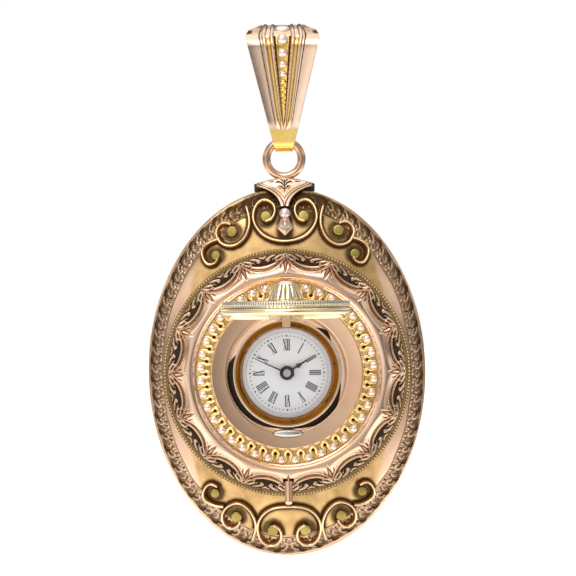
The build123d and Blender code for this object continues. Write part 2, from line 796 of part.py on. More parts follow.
with BuildPart() as mainspring:
    disc(barrel_drum_radius - boss_wall / 2, barrel_back + back_slack * 2,
         barrel_front - back_slack * 2, barrel_place)
    disc(barrel_drum_radius * 2 / 3, barrel_back + back_slack * 2,
         barrel_front - back_slack * 2, barrel_place, mode=Mode.SUBTRACT)
finish(mainspring, "mainspring")

with BuildPart() as winding_arbor:
    disc(barrel_arbor_radius, ratchet_back, barrel_front, barrel_place)
    disc(barrel_arbor_radius / 2, barrel_front, main_plate_front, barrel_place)
    with BuildSketch(ahead(square_back, barrel_place)):
        Rectangle(winding_square, winding_square)
    extrude(amount=ratchet_back - square_back)
finish(winding_arbor, "winding_arbor")

with BuildPart() as ratchet_wheel:
    gear(ratchet_teeth, ratchet_module, ratchet_back, ratchet_back + ratchet_thickness, barrel_place)
    disc(barrel_arbor_radius, ratchet_back, ratchet_back + ratchet_thickness, barrel_place,
         mode=Mode.SUBTRACT)
finish(ratchet_wheel, "ratchet_wheel")

with BuildPart() as click:
    disc(click_width, ratchet_back, ratchet_back + ratchet_thickness, click_place)
    tip = (click_place[0] + click_length / 2, click_place[1] - click_length / 2)
    extrude(drawn([(click_place[0] - click_width, click_place[1]), click_place,
                   tip], ahead(ratchet_back)), amount=ratchet_thickness)
finish(click, "click")

# Train: each wheel on its arbor with its pinion
with BuildPart() as centre_wheel:
    train_wheel(centre_wheel_teeth, centre_wheel_module, centre_wheel_back, (0, 0))
    gear(centre_pinion_teeth, barrel_module, centre_wheel_back + wheel_thickness,
         barrel_back + barrel_tooth_depth * 2, (0, 0))
    disc(centre_arbor_radius, square_back, minute_hand_forward, (0, 0))
finish(centre_wheel, "centre_wheel")

with BuildPart() as third_wheel:
    train_wheel(third_wheel_teeth, third_wheel_module, third_wheel_back, third_place)
    gear(third_pinion_teeth, centre_wheel_module, bridge_front + pivot_slack,
         barrel_back, third_place)
    disc(arbor_radius, barrel_back, main_plate_back - pivot_slack, third_place)
    disc(pivot_radius, bridge_front - jewel_thickness, main_plate_back + jewel_thickness / 2,
         third_place)
finish(third_wheel, "third_wheel")

with BuildPart() as fourth_wheel:
    train_wheel(fourth_wheel_teeth, fourth_wheel_module, fourth_wheel_back, fourth_place)
    gear(fourth_pinion_teeth, third_wheel_module, third_wheel_back - pivot_slack,
         third_wheel_back + wheel_thickness + pivot_slack, fourth_place)
    disc(arbor_radius, bridge_front + pivot_slack, main_plate_back - pivot_slack, fourth_place)
    disc(pivot_radius, bridge_front - jewel_thickness, main_plate_back + jewel_thickness / 2,
         fourth_place)
finish(fourth_wheel, "fourth_wheel")

with BuildPart() as escape_wheel:
    with BuildSketch(ahead(escape_wheel_back, escape_place)):
        Circle(escape_wheel_radius)
        Circle(escape_wheel_radius - wheel_rim, mode=Mode.SUBTRACT)
        Circle(arbor_radius + wheel_rim / 2)
        with PolarLocations(0, wheel_arms):
            Rectangle(escape_wheel_radius - wheel_rim / 2, wheel_rim / 2,
                      align=(Align.MIN, Align.CENTER))
        with PolarLocations(escape_wheel_radius, escape_wheel_teeth):
            Rectangle(wheel_rim, wheel_rim / 2, rotation=escape_tooth_degrees)
    extrude(amount=wheel_thickness)
    gear(escape_pinion_teeth, fourth_wheel_module, fourth_wheel_back - pivot_slack,
         fourth_wheel_back + wheel_thickness + pivot_slack, escape_place)
    disc(pivot_radius, bridge_front, main_plate_back + jewel_thickness / 2, escape_place)
finish(escape_wheel, "escape_wheel")

# Balance with its staff, and the hairspring
with BuildPart() as balance:
    disc(balance_radius, balance_back, balance_back + balance_thickness, balance_place)
    crossings(balance_radius - wheel_rim, balance_staff_radius + wheel_rim, balance_back,
              balance_back + balance_thickness, balance_place)
    disc(balance_staff_radius, cock_front - jewel_thickness, main_plate_back + jewel_thickness / 2,
         balance_place)
finish(balance, "balance_wheel")

with BuildPart() as hairspring:
    disc(hairspring_outer, hairspring_back, hairspring_back + hairspring_height, balance_place)
    disc(hairspring_inner, hairspring_back, hairspring_back + hairspring_height, balance_place,
         mode=Mode.SUBTRACT)
finish(hairspring, "hairspring")

# Lid: turned about its own axis, which stands upright while the lid is open
lid_axis_forward = hinge_forward + hinge_place
lid_level = case_z + hinge_place - hinge_forward


def lid_plane(level):
    """A level plane through the open lid, at the depth that the level has once the lid is shut."""
    return Plane((0, -lid_axis_forward, lid_level + level), x_dir=(1, 0, 0), z_dir=(0, 0, 1))


def turn_lid(points):
    """A turned piece of the open lid: (radius, forward when shut) points spun about its axis."""
    upright_plane = Plane((0, -lid_axis_forward, lid_level), x_dir=(1, 0, 0), z_dir=(0, -1, 0))
    revolve(drawn(points, upright_plane), axis=Axis((0, -lid_axis_forward, 0), (0, 0, 1)))


def lid_slab(across, up, back, front, mode=Mode.ADD):
    """A block of the lid, given by its limits across, up and in depth once the lid is shut."""
    corners = ((across[0], up[0]), (across[1], up[0]), (across[1], up[1]), (across[0], up[1]))
    extrude(drawn(corners, lid_plane(back)), amount=front - back, mode=mode)


snap_rim_top = lid_bore * snap_rim_share
with BuildPart() as lid_shell:
    turn_lid((
        (0, lid_ceiling_forward), (lid_bore, lid_ceiling_forward), (lid_bore, snap_rim_forward),
        (snap_rim_radius, snap_rim_forward), (snap_rim_radius, flange_back),
        (lid_radius - skirt_width, flange_back), (lid_radius - skirt_width, skirt_forward),
        (lid_radius, skirt_forward), (lid_radius, flange_forward),
        (lid_body_radius, flange_forward), (lid_body_radius, lid_body_forward),
        (0, lid_body_forward),
    ))
    lid_slab((-snap_rim_radius, snap_rim_radius), (snap_rim_top, lid_radius),
             skirt_forward - overrun, flange_back, mode=Mode.SUBTRACT)
    lid_slab((-catch_half - finger_slack, catch_half + finger_slack),
             (-lid_radius + skirt_width, -lid_bore + skirt_width),
             skirt_forward - overrun, flange_back, mode=Mode.SUBTRACT)
    lid_slab((-lid_notch_half, lid_notch_half), (lid_bore - overrun / 8, lid_radius + overrun),
             skirt_forward - overrun, lid_ceiling_forward - pivot_slack, mode=Mode.SUBTRACT)
    lid_slab((-lid_knuckle_half, lid_knuckle_half), (lid_body_radius - hinge_radius, hinge_place),
             lid_ceiling_forward + pivot_slack, lid_body_forward - pivot_slack)
    along_x(hinge_radius, -lid_knuckle_half, lid_knuckle_half, hinge_forward, hinge_place)
    along_x(hinge_bore_radius, -lid_radius, lid_radius, hinge_forward, hinge_place,
            mode=Mode.SUBTRACT)
    for side in (-1, 1):
        start = min(side * lid_knuckle_half, side * case_knuckle_end * 2)
        end = max(side * lid_knuckle_half, side * case_knuckle_end * 2)
        along_x(hinge_radius + pivot_slack * 2, start, end, hinge_forward, hinge_place,
                mode=Mode.SUBTRACT)
finish(lid_shell, "lid_shell")

with BuildPart() as lid_cover:
    turn_lid((
        (0, lid_body_forward), (lid_body_radius, lid_body_forward),
        (lid_body_radius, flange_forward), (lid_edge_radius, flange_forward),
        (lid_edge_radius, lid_edge_forward), (collet_base_radius, lid_crown_forward),
        (0, lid_crown_forward),
    ))
    along_x(hinge_radius + pivot_slack * 2, -case_knuckle_end * 2, case_knuckle_end * 2,
            hinge_forward, hinge_place, mode=Mode.SUBTRACT)
    add(lid_shell.part, mode=Mode.SUBTRACT)
finish(lid_cover, "lid_cover")

collet_step = (collet_forward - lid_crown_forward) / 3
stone_back = collet_forward - stone_depth
with BuildPart() as stone_collet:
    turn_lid((
        (0, lid_crown_forward), (collet_base_radius, lid_crown_forward),
        (collet_base_radius - collet_lip, lid_crown_forward + collet_step),
        (collet_waist_radius, collet_forward - collet_step),
        (collet_top_radius, collet_forward), (collet_top_radius - collet_lip, collet_forward),
        (collet_top_radius - collet_lip, stone_back), (0, stone_back),
    ))
finish(stone_collet, "stone_collet")

with BuildPart() as stone:
    stone_radius = collet_top_radius - collet_lip
    turn_lid((
        (0, stone_back), (stone_radius, stone_back), (stone_radius, collet_forward),
        (stone_radius / 2, collet_forward + stone_rise), (0, collet_forward + stone_rise),
    ))
finish(stone, "stone")

# Hinge of the lid: two knuckles on the inner plate, and a pin
with BuildPart() as lid_hinge_knuckles:
    for side in (-1, 1):
        start = min(side * case_knuckle_start, side * case_knuckle_end)
        end = max(side * case_knuckle_start, side * case_knuckle_end)
        along_x(hinge_radius, start, end, hinge_forward, hinge_place)
        slab((start, end), (hinge_place - hinge_radius, hinge_place + hinge_radius),
             plate_forward, hinge_forward)
        along_x(hinge_bore_radius, start, end, hinge_forward, hinge_place, mode=Mode.SUBTRACT)
finish(lid_hinge_knuckles, "lid_hinge_knuckles")

with BuildPart() as lid_hinge_pin:
    along_x(hinge_pin_radius, -case_knuckle_end, case_knuckle_end, hinge_forward, hinge_place)
finish(lid_hinge_pin, "lid_hinge_pin")

# Lift finger: the sprung tongue that raises the lid
with BuildPart() as lift_finger:
    slab((-finger_half, finger_half), (finger_inner, finger_outer),
         finger_forward - finger_thickness, finger_forward)
    slab((-finger_half, finger_half), (finger_outer - finger_post_width, finger_outer),
         finger_foot, finger_forward)
finish(lift_finger, "lift_finger")

# Push peg with its rod, and the catch that it draws back
with BuildPart() as push_peg:
    upright(peg_radius, 0, peg_forward, -peg_outer, -peg_inner)
    fillet(push_peg.edges().filter_by(GeomType.CIRCLE).sort_by(Axis.Z)[0],
           radius=peg_radius * peg_round_share)
    upright(rod_radius, 0, rod_forward, -peg_inner, -catch_outer + catch_post_half)
finish(push_peg, "push_peg")

with BuildPart() as catch:
    with BuildSketch(ahead(catch_back)):
        with BuildLine():
            Polyline((catch_half, -catch_outer + finger_slack), (catch_half, -catch_inner),
                     (-catch_half, -catch_inner), (-catch_half, -catch_outer + finger_slack))
            ThreePointArc((-catch_half, -catch_outer + finger_slack), (0, -catch_outer),
                          (catch_half, -catch_outer + finger_slack))
        make_face()
    extrude(amount=catch_forward - catch_back)
    slab((-catch_post_half, catch_post_half),
         (-catch_outer + finger_slack, -catch_outer + finger_slack + catch_post_half),
         rod_forward, catch_back)
    add(push_peg.part, mode=Mode.SUBTRACT)
finish(catch, "catch")

# Ring soldered to the saddle
with BuildPart() as pendant_ring:
    with Locations((0, 0, -ring_drop)):
        Torus(ring_radius, ring_wire, rotation=(90, 0, 0))
finish(pendant_ring, "pendant_ring")

# Bail: a strap folded into a drop-shaped loop, wide at the eye and narrow at the ring
def loop_outline(wall):
    """The side view of the loop, grown by a wall: two circles and the slopes that touch both."""
    eye = bail_eye_radius + wall
    foot = bail_foot_radius + wall
    slope = math.asin((eye - foot) / bail_foot_drop)
    corners = [(-eye * math.cos(slope), -eye * math.sin(slope)),
               (-foot * math.cos(slope), -bail_foot_drop - foot * math.sin(slope)),
               (foot * math.cos(slope), -bail_foot_drop - foot * math.sin(slope)),
               (eye * math.cos(slope), -eye * math.sin(slope))]
    with BuildSketch(Plane.YZ.offset(-bail_half_width)) as side:
        with BuildLine():
            ThreePointArc(corners[3], (0, eye), corners[0])
            Line(corners[0], corners[1])
            ThreePointArc(corners[1], (0, -bail_foot_drop - foot), corners[2])
            Line(corners[2], corners[3])
        make_face()
    return side.sketch


bail_top = bail_eye_radius + bail_wall
bail_foot = bail_foot_drop + bail_foot_radius + bail_wall
shoulder = bail_half_width * bail_shoulder_share
with BuildPart() as bail_strap:
    extrude(loop_outline(bail_wall), amount=bail_half_width * 2)
    extrude(loop_outline(0), amount=bail_half_width * 2, mode=Mode.SUBTRACT)
    with BuildSketch(Plane.XZ.offset(-bail_top)) as front:
        right_edge = [(across_share * bail_half_width, up_share * bail_top)
                      for across_share, up_share in bail_outline_shares]
        left_edge = [(-across, up) for across, up in right_edge]
        with BuildLine():
            Polyline((-shoulder, bail_top), *left_edge, (-bail_foot_half, -bail_foot),
                     (bail_foot_half, -bail_foot), *right_edge[::-1], (shoulder, bail_top),
                     close=True)
        make_face()
    extrude(front.sketch, amount=bail_top * 2, mode=Mode.INTERSECT)
finish(bail_strap, "bail_strap")

# The bail's face: a plane that lies on the strap's front slope, measured down from the eye
eye_outer = bail_eye_radius + bail_wall
foot_outer = bail_foot_radius + bail_wall
lean = math.asin((eye_outer - foot_outer) / bail_foot_drop)
bail_face = Plane((0, -eye_outer * math.cos(lean), -eye_outer * math.sin(lean)),
                  x_dir=(1, 0, 0), z_dir=(0, -math.cos(lean), -math.sin(lean)))

with BuildPart() as bail_ornament:
    half_at_top = bail_half_width * bail_rib_top_share
    for side in (-1, 1):
        for order in (0, 1):
            inner_top = bail_bead_radii[0] + bail_rib_gap / 2 + order * (bail_rib_width + bail_rib_gap)
            inner_foot = inner_top / 3
            points = ((side * inner_top, -bail_rib_top),
                      (side * (inner_top + bail_rib_width), -bail_rib_top),
                      (side * (inner_foot + bail_rib_width / 2), -bail_rib_bottom),
                      (side * inner_foot, -bail_rib_bottom))
            extrude(drawn(points, bail_face), amount=bail_rib_height)
    drop = 0
    for radius in bail_bead_radii:
        drop += radius + bail_bead_gap / 6
        with Locations(bail_face.location * Location((0, -drop, 0))):
            Sphere(radius, arc_size1=0, align=(Align.CENTER, Align.CENTER, Align.MIN))
        drop += radius
finish(bail_ornament, "bail_ornament")

# Saddle: a fan that bends over the rim, with a bead and a pointed drop below it
dome_edge_forward = dome_height * dome_height_shares[1]
rim_z = case_z + case_half_height
saddle_foot_forward = dome_height * dome_height_shares[3]
with BuildPart() as saddle:
    with BuildSketch(ahead(-saddle_back)) as fan:
        with BuildLine():
            top = case_drop - saddle_top_drop
            stem = case_drop - saddle_stem_drop
            Line((-saddle_half, top), (saddle_half, top))
            ThreePointArc((saddle_half, top), (saddle_half / 3, (top + stem * 2) / 3 + saddle_back / 2),
                          (saddle_stem_half, stem))
            Line((saddle_stem_half, stem), (-saddle_stem_half, stem))
            ThreePointArc((-saddle_stem_half, stem),
                          (-saddle_half / 3, (top + stem * 2) / 3 + saddle_back / 2),
                          (-saddle_half, top))
        make_face()
    extrude(fan.sketch, amount=saddle_back + dome_height + saddle_height)
    with BuildSketch(Plane.YZ.offset(-saddle_half)) as profile:
        with BuildLine():
            Polyline((saddle_back, -saddle_top_drop), (-saddle_back, -saddle_top_drop),
                     (-dome_edge_forward - saddle_height, rim_z),
                     (-saddle_foot_forward - saddle_height, -saddle_stem_drop),
                     (-dome_edge_forward, -saddle_stem_drop),
                     (0, rim_z), (saddle_back, rim_z), close=True)
        make_face()
    extrude(profile.sketch, amount=saddle_half * 2, mode=Mode.INTERSECT)
    add(dome, mode=Mode.SUBTRACT)
    add(case_middle.part, mode=Mode.SUBTRACT)
    add(pendant_ring.part, mode=Mode.SUBTRACT)
finish(saddle, "saddle")

bead_share = (case_drop - saddle_bead_drop) / case_half_height
above, below = dome_radius_shares[4], dome_radius_shares[3]
climb = dome_height_shares[4] - dome_height_shares[3]
bead_seat = dome_height * (dome_height_shares[3] + climb * (below - bead_share) / (below - above))
bead_forward = bead_seat + saddle_bead_radius * saddle_bead_lift_share
with BuildPart() as saddle_ornament:
    with Locations((0, -bead_forward, -saddle_bead_drop)):
        Sphere(saddle_bead_radius)
    kite = ((0, case_drop - drop_top), (drop_half, case_drop - drop_wide),
            (0, case_drop - drop_foot), (-drop_half, case_drop - drop_wide))
    extrude(drawn(kite, ahead(dome_edge_forward)),
            amount=dome_height - dome_edge_forward + drop_height / 2)
    add(dome, mode=Mode.SUBTRACT)
    add(saddle.part, mode=Mode.SUBTRACT)
finish(saddle_ornament, "saddle_ornament")


# Scrolls
def strip(shares, mirrored):
    """A bent strip on edge: a band beside a smooth line through points on the oval."""
    turned = -1 if mirrored else 1
    points = [(turned * x * case_half_width, z * case_half_height) for x, z in shares]
    with BuildLine(mode=Mode.PRIVATE) as path:
        Spline(*points)
    line = path.edges()[0]
    left = []
    right = []
    for step in range(strip_steps + 1):
        place = line.position_at(step / strip_steps)
        heading = line.tangent_at(step / strip_steps)
        aside = Vector(-heading.Y, heading.X, 0) * (strip_width / 2)
        left.append(tuple(place + aside)[:2])
        right.append(tuple(place - aside)[:2])
    band = drawn(left + right[::-1], ahead(dome_edge_forward))
    extrude(band, amount=dome_height + strip_height - dome_edge_forward)
    add(raised_dome, mode=Mode.INTERSECT)
    add(dome, mode=Mode.SUBTRACT)
    disc(milled_radius + finger_slack, 0, dome_height + overrun, mode=Mode.SUBTRACT)


def scroll(label, runs, mirrored=False, beside=()):
    """One scroll of one or two strips, cut where it meets those beside it."""
    with BuildPart() as whole:
        for shares in runs:
            with BuildPart(mode=Mode.PRIVATE) as one:
                strip(shares, mirrored)
            add(one.part)
        add(saddle.part, mode=Mode.SUBTRACT)
        add(saddle_ornament.part, mode=Mode.SUBTRACT)
        for neighbour in beside:
            add(neighbour, mode=Mode.SUBTRACT)
    finish(whole, label)
    return whole.part


top_scroll = scroll("scroll_top", [top_scroll_shares])
bottom_scroll = scroll("scroll_bottom", [bottom_scroll_shares])
for side_name, flip in (("left", False), ("right", True)):
    scroll("scroll_upper_" + side_name, [upper_curl_shares, upper_sprig_shares], flip, [top_scroll])
    scroll("scroll_lower_" + side_name, [lower_curl_shares, lower_sprig_shares], flip, [bottom_scroll])

with BuildPart() as pellets:
    for shares, radius in ((pellet_shares, pellet_radius), (small_pellet_shares, small_pellet_radius)):
        for x, z in shares:
            for side in (-1, 1):
                place = (side * x * case_half_width, z * case_half_height)
                disc(radius, dome_edge_forward, dome_height + pellet_height, place)
    add(pellet_dome, mode=Mode.INTERSECT)
    add(dome, mode=Mode.SUBTRACT)
finish(pellets, "pellets")
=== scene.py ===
import math

import bmesh
import bpy
import numpy as np
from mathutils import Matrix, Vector


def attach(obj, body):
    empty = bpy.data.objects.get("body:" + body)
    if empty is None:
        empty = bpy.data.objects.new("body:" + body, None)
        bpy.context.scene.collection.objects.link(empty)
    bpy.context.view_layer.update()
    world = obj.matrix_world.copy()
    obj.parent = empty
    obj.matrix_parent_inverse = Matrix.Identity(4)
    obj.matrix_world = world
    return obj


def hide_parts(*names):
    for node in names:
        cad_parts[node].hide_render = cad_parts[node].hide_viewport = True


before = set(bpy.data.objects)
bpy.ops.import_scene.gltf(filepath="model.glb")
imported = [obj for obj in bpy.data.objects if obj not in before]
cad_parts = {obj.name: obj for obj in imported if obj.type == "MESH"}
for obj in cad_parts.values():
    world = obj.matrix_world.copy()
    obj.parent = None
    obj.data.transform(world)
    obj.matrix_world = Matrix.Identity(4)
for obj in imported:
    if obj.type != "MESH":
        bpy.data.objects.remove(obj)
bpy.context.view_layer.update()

# A lady's pendant watch. Shapes are worked out in millimetres and put into the meshes in metres.
# A place on the face is (across, up) from the centre of the dial, with forward towards the onlooker.
MM = 0.001
CASE_Z = -48.05
HALF_WIDTH, HALF_HEIGHT, DOME_HEIGHT = 20.5, 27.2, 4.5
TURN = 2 * np.pi
TO_FRONT = [1.0, 0, 0], [0, 0, 1.0], [0, -1.0, 0]    # the directions across, up and forward


# Numbers
def circle(count):
    """Angles of so many even steps round a full turn."""
    return np.linspace(0, TURN, count, endpoint=False)


def unit(vectors):
    """Vectors divided by their lengths."""
    return vectors / np.linalg.norm(vectors, axis=-1, keepdims=True)


def ramp(value, start, full):
    """0 at start and before it, 1 at full and after it, an even climb between them."""
    return np.clip((value - start) / (full - start), 0, 1)


def bulge(value, middle, reach):
    """A half circle's height: the root of 1 - ((value - middle) / reach)^2, and 0 beyond the reach."""
    return np.sqrt(np.clip(1 - ((value - middle) / reach) ** 2, 0, 1))


def bell(value, middle, reach):
    """A soft mark: e to the power of -((value - middle) / reach)^2."""
    return np.exp(-((value - middle) / reach) ** 2)


def beside(rows, *parts):
    """Columns side by side over so many rows: each part is a grid, or one number for a column of its own."""
    return np.concatenate([np.broadcast_to(p, (rows, np.shape(p)[-1] if np.ndim(p) else 1)) for p in parts], 1)


def stroke(x, y, line, widths):
    """How near each point (x, y) is to a bent stroke, 1 on its middle line and 0 at its edge and beyond.

    Each run of the line has its own half width, which changes evenly from end to end."""
    best = np.zeros(np.broadcast(x, y).shape)
    for (x0, y0), (x1, y1), w0, w1 in zip(line[:-1], line[1:], widths[:-1], widths[1:]):
        dx, dy = x1 - x0, y1 - y0
        t = np.clip(((x - x0) * dx + (y - y0) * dy) / max(dx * dx + dy * dy, 1e-9), 0, 1)
        away = np.hypot(x - x0 - t * dx, y - y0 - t * dy) / (w0 + t * (w1 - w0))
        best = np.maximum(best, 1 - away)
    return np.clip(best, 0, 1)


def strokes(x, y, runs):
    """The highest of many rounded strokes at each point: each run is a line, its widths and, if not 1, its height."""
    return np.max([bulge(stroke(x, y, line, widths), 1, 1) * (height[0] if height else 1)
                   for line, widths, *height in runs], 0)


# Mesh work
def lattice(rows, columns, round_rows=False, round_columns=False):
    """Quads that join a grid of points, row by row, with the last row or column joined to the first if round."""
    a, b = np.meshgrid(np.arange(rows - (not round_rows)), np.arange(columns - (not round_columns)), indexing="ij")
    after, beyond = (a + 1) % rows, (b + 1) % columns
    return np.stack([a * columns + b, a * columns + beyond, after * columns + beyond, after * columns + b],
                    axis=-1).reshape(-1, 4)


def closed_grid(grid, recess=0.0, round_rows=True, round_columns=True):
    """One closed part from a (rows, columns, 3) grid of points, with a recess value at each point.

    Its quads are turned so that the volume they enclose is positive."""
    rows, columns = grid.shape[:2]
    points, quads = grid.reshape(-1, 3), lattice(rows, columns, round_rows, round_columns)
    middle = points.mean(0)
    a, b, c, d = (points[quads[:, k]] - middle for k in range(4))
    inside_out = (a * np.cross(b, c)).sum() + (a * np.cross(c, d)).sum() <= 0
    return points, quads[:, ::-1] if inside_out else quads, np.broadcast_to(recess, (rows, columns)).reshape(-1)


def capped(grid, recess=0.0):
    """A tube of rows, closed by drawing its first and last rows in to their middles."""
    ends = [np.broadcast_to(row.mean(1, keepdims=True), row.shape) for row in (grid[:1], grid[-1:])]
    recess = np.broadcast_to(recess, grid.shape[:2])
    return closed_grid(np.concatenate([ends[0], grid, ends[1]]), np.concatenate([recess[:1], recess, recess[-1:]]),
                       round_rows=False)


def copies(part, places):
    """A part repeated: its points times each scale, turned by each frame of x, y and z axes, moved to each centre."""
    points, quads, values = part
    centre, scale, ax, ay, az = (p[:, None] for p in places)
    many = centre + scale * (points[None, :, 0:1] * ax + points[None, :, 1:2] * ay + points[None, :, 2:3] * az)
    count = len(centre)
    shift = (np.arange(count) * len(points))[:, None, None]
    return many.reshape(-1, 3), (quads[None] + shift).reshape(-1, 4), np.tile(values, count)


def places_to_front(centre, size=1.0):
    """Places whose frames look forward: x across, y up, z towards the onlooker."""
    return (centre, np.broadcast_to(size, (len(centre), 1)), *(np.broadcast_to(v, (len(centre), 3)) for v in TO_FRONT))


def piece(name, parts, finishes, replaced=None, body="case", smooth=True, weld=False, sharp=None,
          bloom=None):
    """A mesh object, in millimetres, from one part or from a list of (part, orders of its finishes).

    Parts are (points, quads, recess values). Smooth shading stops at edges sharper than sharp, in degrees."""
    if isinstance(parts, tuple):
        parts = [(parts, 0)]
    points, quads, values = zip(*(part for part, kind in parts))
    kinds = np.concatenate([np.full(len(q), kind, np.int32) for q, (part, kind) in zip(quads, parts)])
    starts = np.cumsum([0, *map(len, points[:-1])])
    quads = np.concatenate([q + start for q, start in zip(quads, starts)])
    mesh = bpy.data.meshes.new(name)
    mesh.from_pydata((np.concatenate(points) * MM).tolist(), [], quads.tolist())
    for label, value in (("recess", np.concatenate(values)), ("bloom", bloom)):
        if value is not None:
            mesh.attributes.new(label, "FLOAT", "POINT").data.foreach_set("value", value.astype(np.float32))
    mesh.polygons.foreach_set("use_smooth", np.full(len(quads), smooth))
    for finish in finishes if isinstance(finishes, list) else [finishes]:
        mesh.materials.append(finish)
    mesh.polygons.foreach_set("material_index", kinds)
    if weld:
        work = bmesh.new()
        work.from_mesh(mesh)
        bmesh.ops.remove_doubles(work, verts=work.verts, dist=2e-7)
        bmesh.ops.dissolve_degenerate(work, edges=work.edges, dist=1e-8)
        work.to_mesh(mesh)
        work.free()
    mesh.update()
    if sharp:
        mesh.set_sharp_from_angle(angle=math.radians(sharp))
    made = bpy.data.objects.new(name, mesh)
    bpy.context.scene.collection.objects.link(made)
    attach(made, body)
    if replaced:
        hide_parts(replaced)


# Curves and turned shapes
def smooth_line(knots, count):
    """A natural cubic spline through knots, its parameter the chord length, at count even steps of it."""
    knots = np.asarray(knots, float)
    n = len(knots)
    t = np.concatenate([[0], np.cumsum(np.linalg.norm(np.diff(knots, axis=0), axis=1))])
    h = np.diff(t)
    matrix, right = np.eye(n), np.zeros((n, knots.shape[1]))
    k = np.arange(1, n - 1)
    matrix[k, k - 1], matrix[k, k], matrix[k, k + 1] = h[k - 1], 2 * (h[k - 1] + h[k]), h[k]
    slopes = np.diff(knots, axis=0) / h[:, None]
    right[k] = 6 * (slopes[k] - slopes[k - 1])
    bend = np.linalg.solve(matrix, right)
    s = np.linspace(0, t[-1], count)
    i = np.clip(np.searchsorted(t, s, side="right") - 1, 0, n - 2)
    a, b = ((t[i + 1] - s) / h[i])[:, None], ((s - t[i]) / h[i])[:, None]
    g = (h[i] ** 2)[:, None] / 6
    return a * knots[i] + b * knots[i + 1] + ((a ** 3 - a) * bend[i] + (b ** 3 - b) * bend[i + 1]) * g


def mirrored(half):
    """A line given from one end to its middle, carried on to the other end as its mirror image."""
    return half + [(-x, y) for x, y in half[-2::-1]]


def rounded(corners, radius):
    """A closed outline with each corner eased by a small parabola between points a radius away from it."""
    corners = np.asarray(corners, float)
    ends = []
    for step in (1, -1):
        way = np.roll(corners, step, 0) - corners
        length = np.linalg.norm(way, axis=1, keepdims=True)
        ends.append((corners + way / length * np.minimum(radius, length * 0.45))[:, None])
    u = np.linspace(0, 1, 4)[None, :, None]
    eased = (1 - u) ** 2 * ends[0] + 2 * u * (1 - u) * corners[:, None] + u ** 2 * ends[1]
    return eased.reshape(-1, corners.shape[1])


def on_face(across, up, forward):
    """World points in millimetres from a place on the face and its depth forward."""
    across, up, forward = np.broadcast_arrays(across, up, forward)
    return np.stack([across, -forward, CASE_Z + up], axis=-1).astype(float)


def on_ring(radius, angle, forward):
    """World points round the dial's axis: across = r sin a, up = r cos a."""
    return on_face(radius * np.sin(angle), radius * np.cos(angle), forward)


def all_round(outline, steps):
    """Angles of even steps round an axis, with an outline's radii and levels at each of them."""
    outline = np.asarray(outline, float)
    return (circle(steps)[:, None], *(np.broadcast_to(outline[:, k], (steps, len(outline))) for k in (0, 1)))


def turned(outline, steps, recess=0.0):
    """A closed (radius, forward) outline carried round the dial's axis."""
    angle, r, f = all_round(outline, steps)
    return closed_grid(on_ring(r, angle, f), recess)


def swept(path, across, up, section):
    """A closed section carried along a path: point = path + across * x + up * y, ends drawn in to a point."""
    return capped(path[:, None] + across[:, None] * section[None, :, 0:1] + up[:, None] * section[None, :, 1:2])


def button(outline, count):
    """A grid turned about its own z axis from an outline of (radius, height): x = r cos a, y = r sin a."""
    r, h = np.array(outline, float).T[..., None]
    return np.stack(np.broadcast_arrays(r * np.cos(circle(count)), r * np.sin(circle(count)), h), -1)


def ball(columns, rows, low=-90):
    """A unit ball, or its upper part from a latitude in degrees, closed below by a point on its axis."""
    latitudes = np.radians(np.linspace(low, 90, rows))
    outline = [(0, math.sin(latitudes[0]))] if low > -90 else []
    return closed_grid(button(outline + [(math.cos(t), math.sin(t)) for t in latitudes], columns), round_rows=False)


def places_round(radius, forward, count, size, start=0.0):
    """Places round the dial's axis: their frames look forward, with y pointing away from the centre."""
    a = np.radians(start) + circle(count)
    side, out = np.stack([np.cos(a), 0 * a, -np.sin(a)], -1), np.stack([np.sin(a), 0 * a, np.cos(a)], -1)
    return on_ring(radius, a, forward), np.full((count, 1), size), side, out, np.broadcast_to(TO_FRONT[2], side.shape)


# Finishes
def maker(tree):
    """A short way to add a node to a tree: its inputs are linked or given, and the picked output comes back."""
    def add(kind, inputs=None, pick=0, **settings):
        """A node with its properties set; picking None gives the node itself."""
        node = tree.nodes.new(kind if kind.startswith("NodeGroup") else "ShaderNode" + kind)
        for key, value in settings.items():
            setattr(node, key, value)
        for key, value in (inputs or {}).items():
            if isinstance(value, bpy.types.NodeSocket):
                tree.links.new(value, node.inputs[key])
            else:
                node.inputs[key].default_value = value
        return node if pick is None else node.outputs[pick]
    return add


def noise(add, size, detail, rough=0.5):
    """A cloud fixed to the piece."""
    place = add("TexCoord", pick="Object")
    return add("TexNoise", {"Vector": place, "Scale": size, "Detail": detail, "Roughness": rough})


def mixed(add, share, first, second):
    """Two tones mixed by a share."""
    return add("Mix", {"Factor": share, 6: first, 7: second}, 2, data_type="RGBA")


def node_group(name, inputs, outputs):
    """A shader group with its inputs' tones and numbers by name, and its outputs' kinds by name."""
    group = bpy.data.node_groups.new(name, "ShaderNodeTree")
    for label, value in inputs.items():
        kind = "NodeSocketColor" if isinstance(value, tuple) else "NodeSocketFloat"
        group.interface.new_socket(name=label, in_out="INPUT", socket_type=kind).default_value = value
    for label, kind in outputs.items():
        group.interface.new_socket(name=label, in_out="OUTPUT", socket_type="NodeSocket" + kind)
    return group, maker(group), group.nodes.new("NodeGroupInput").outputs


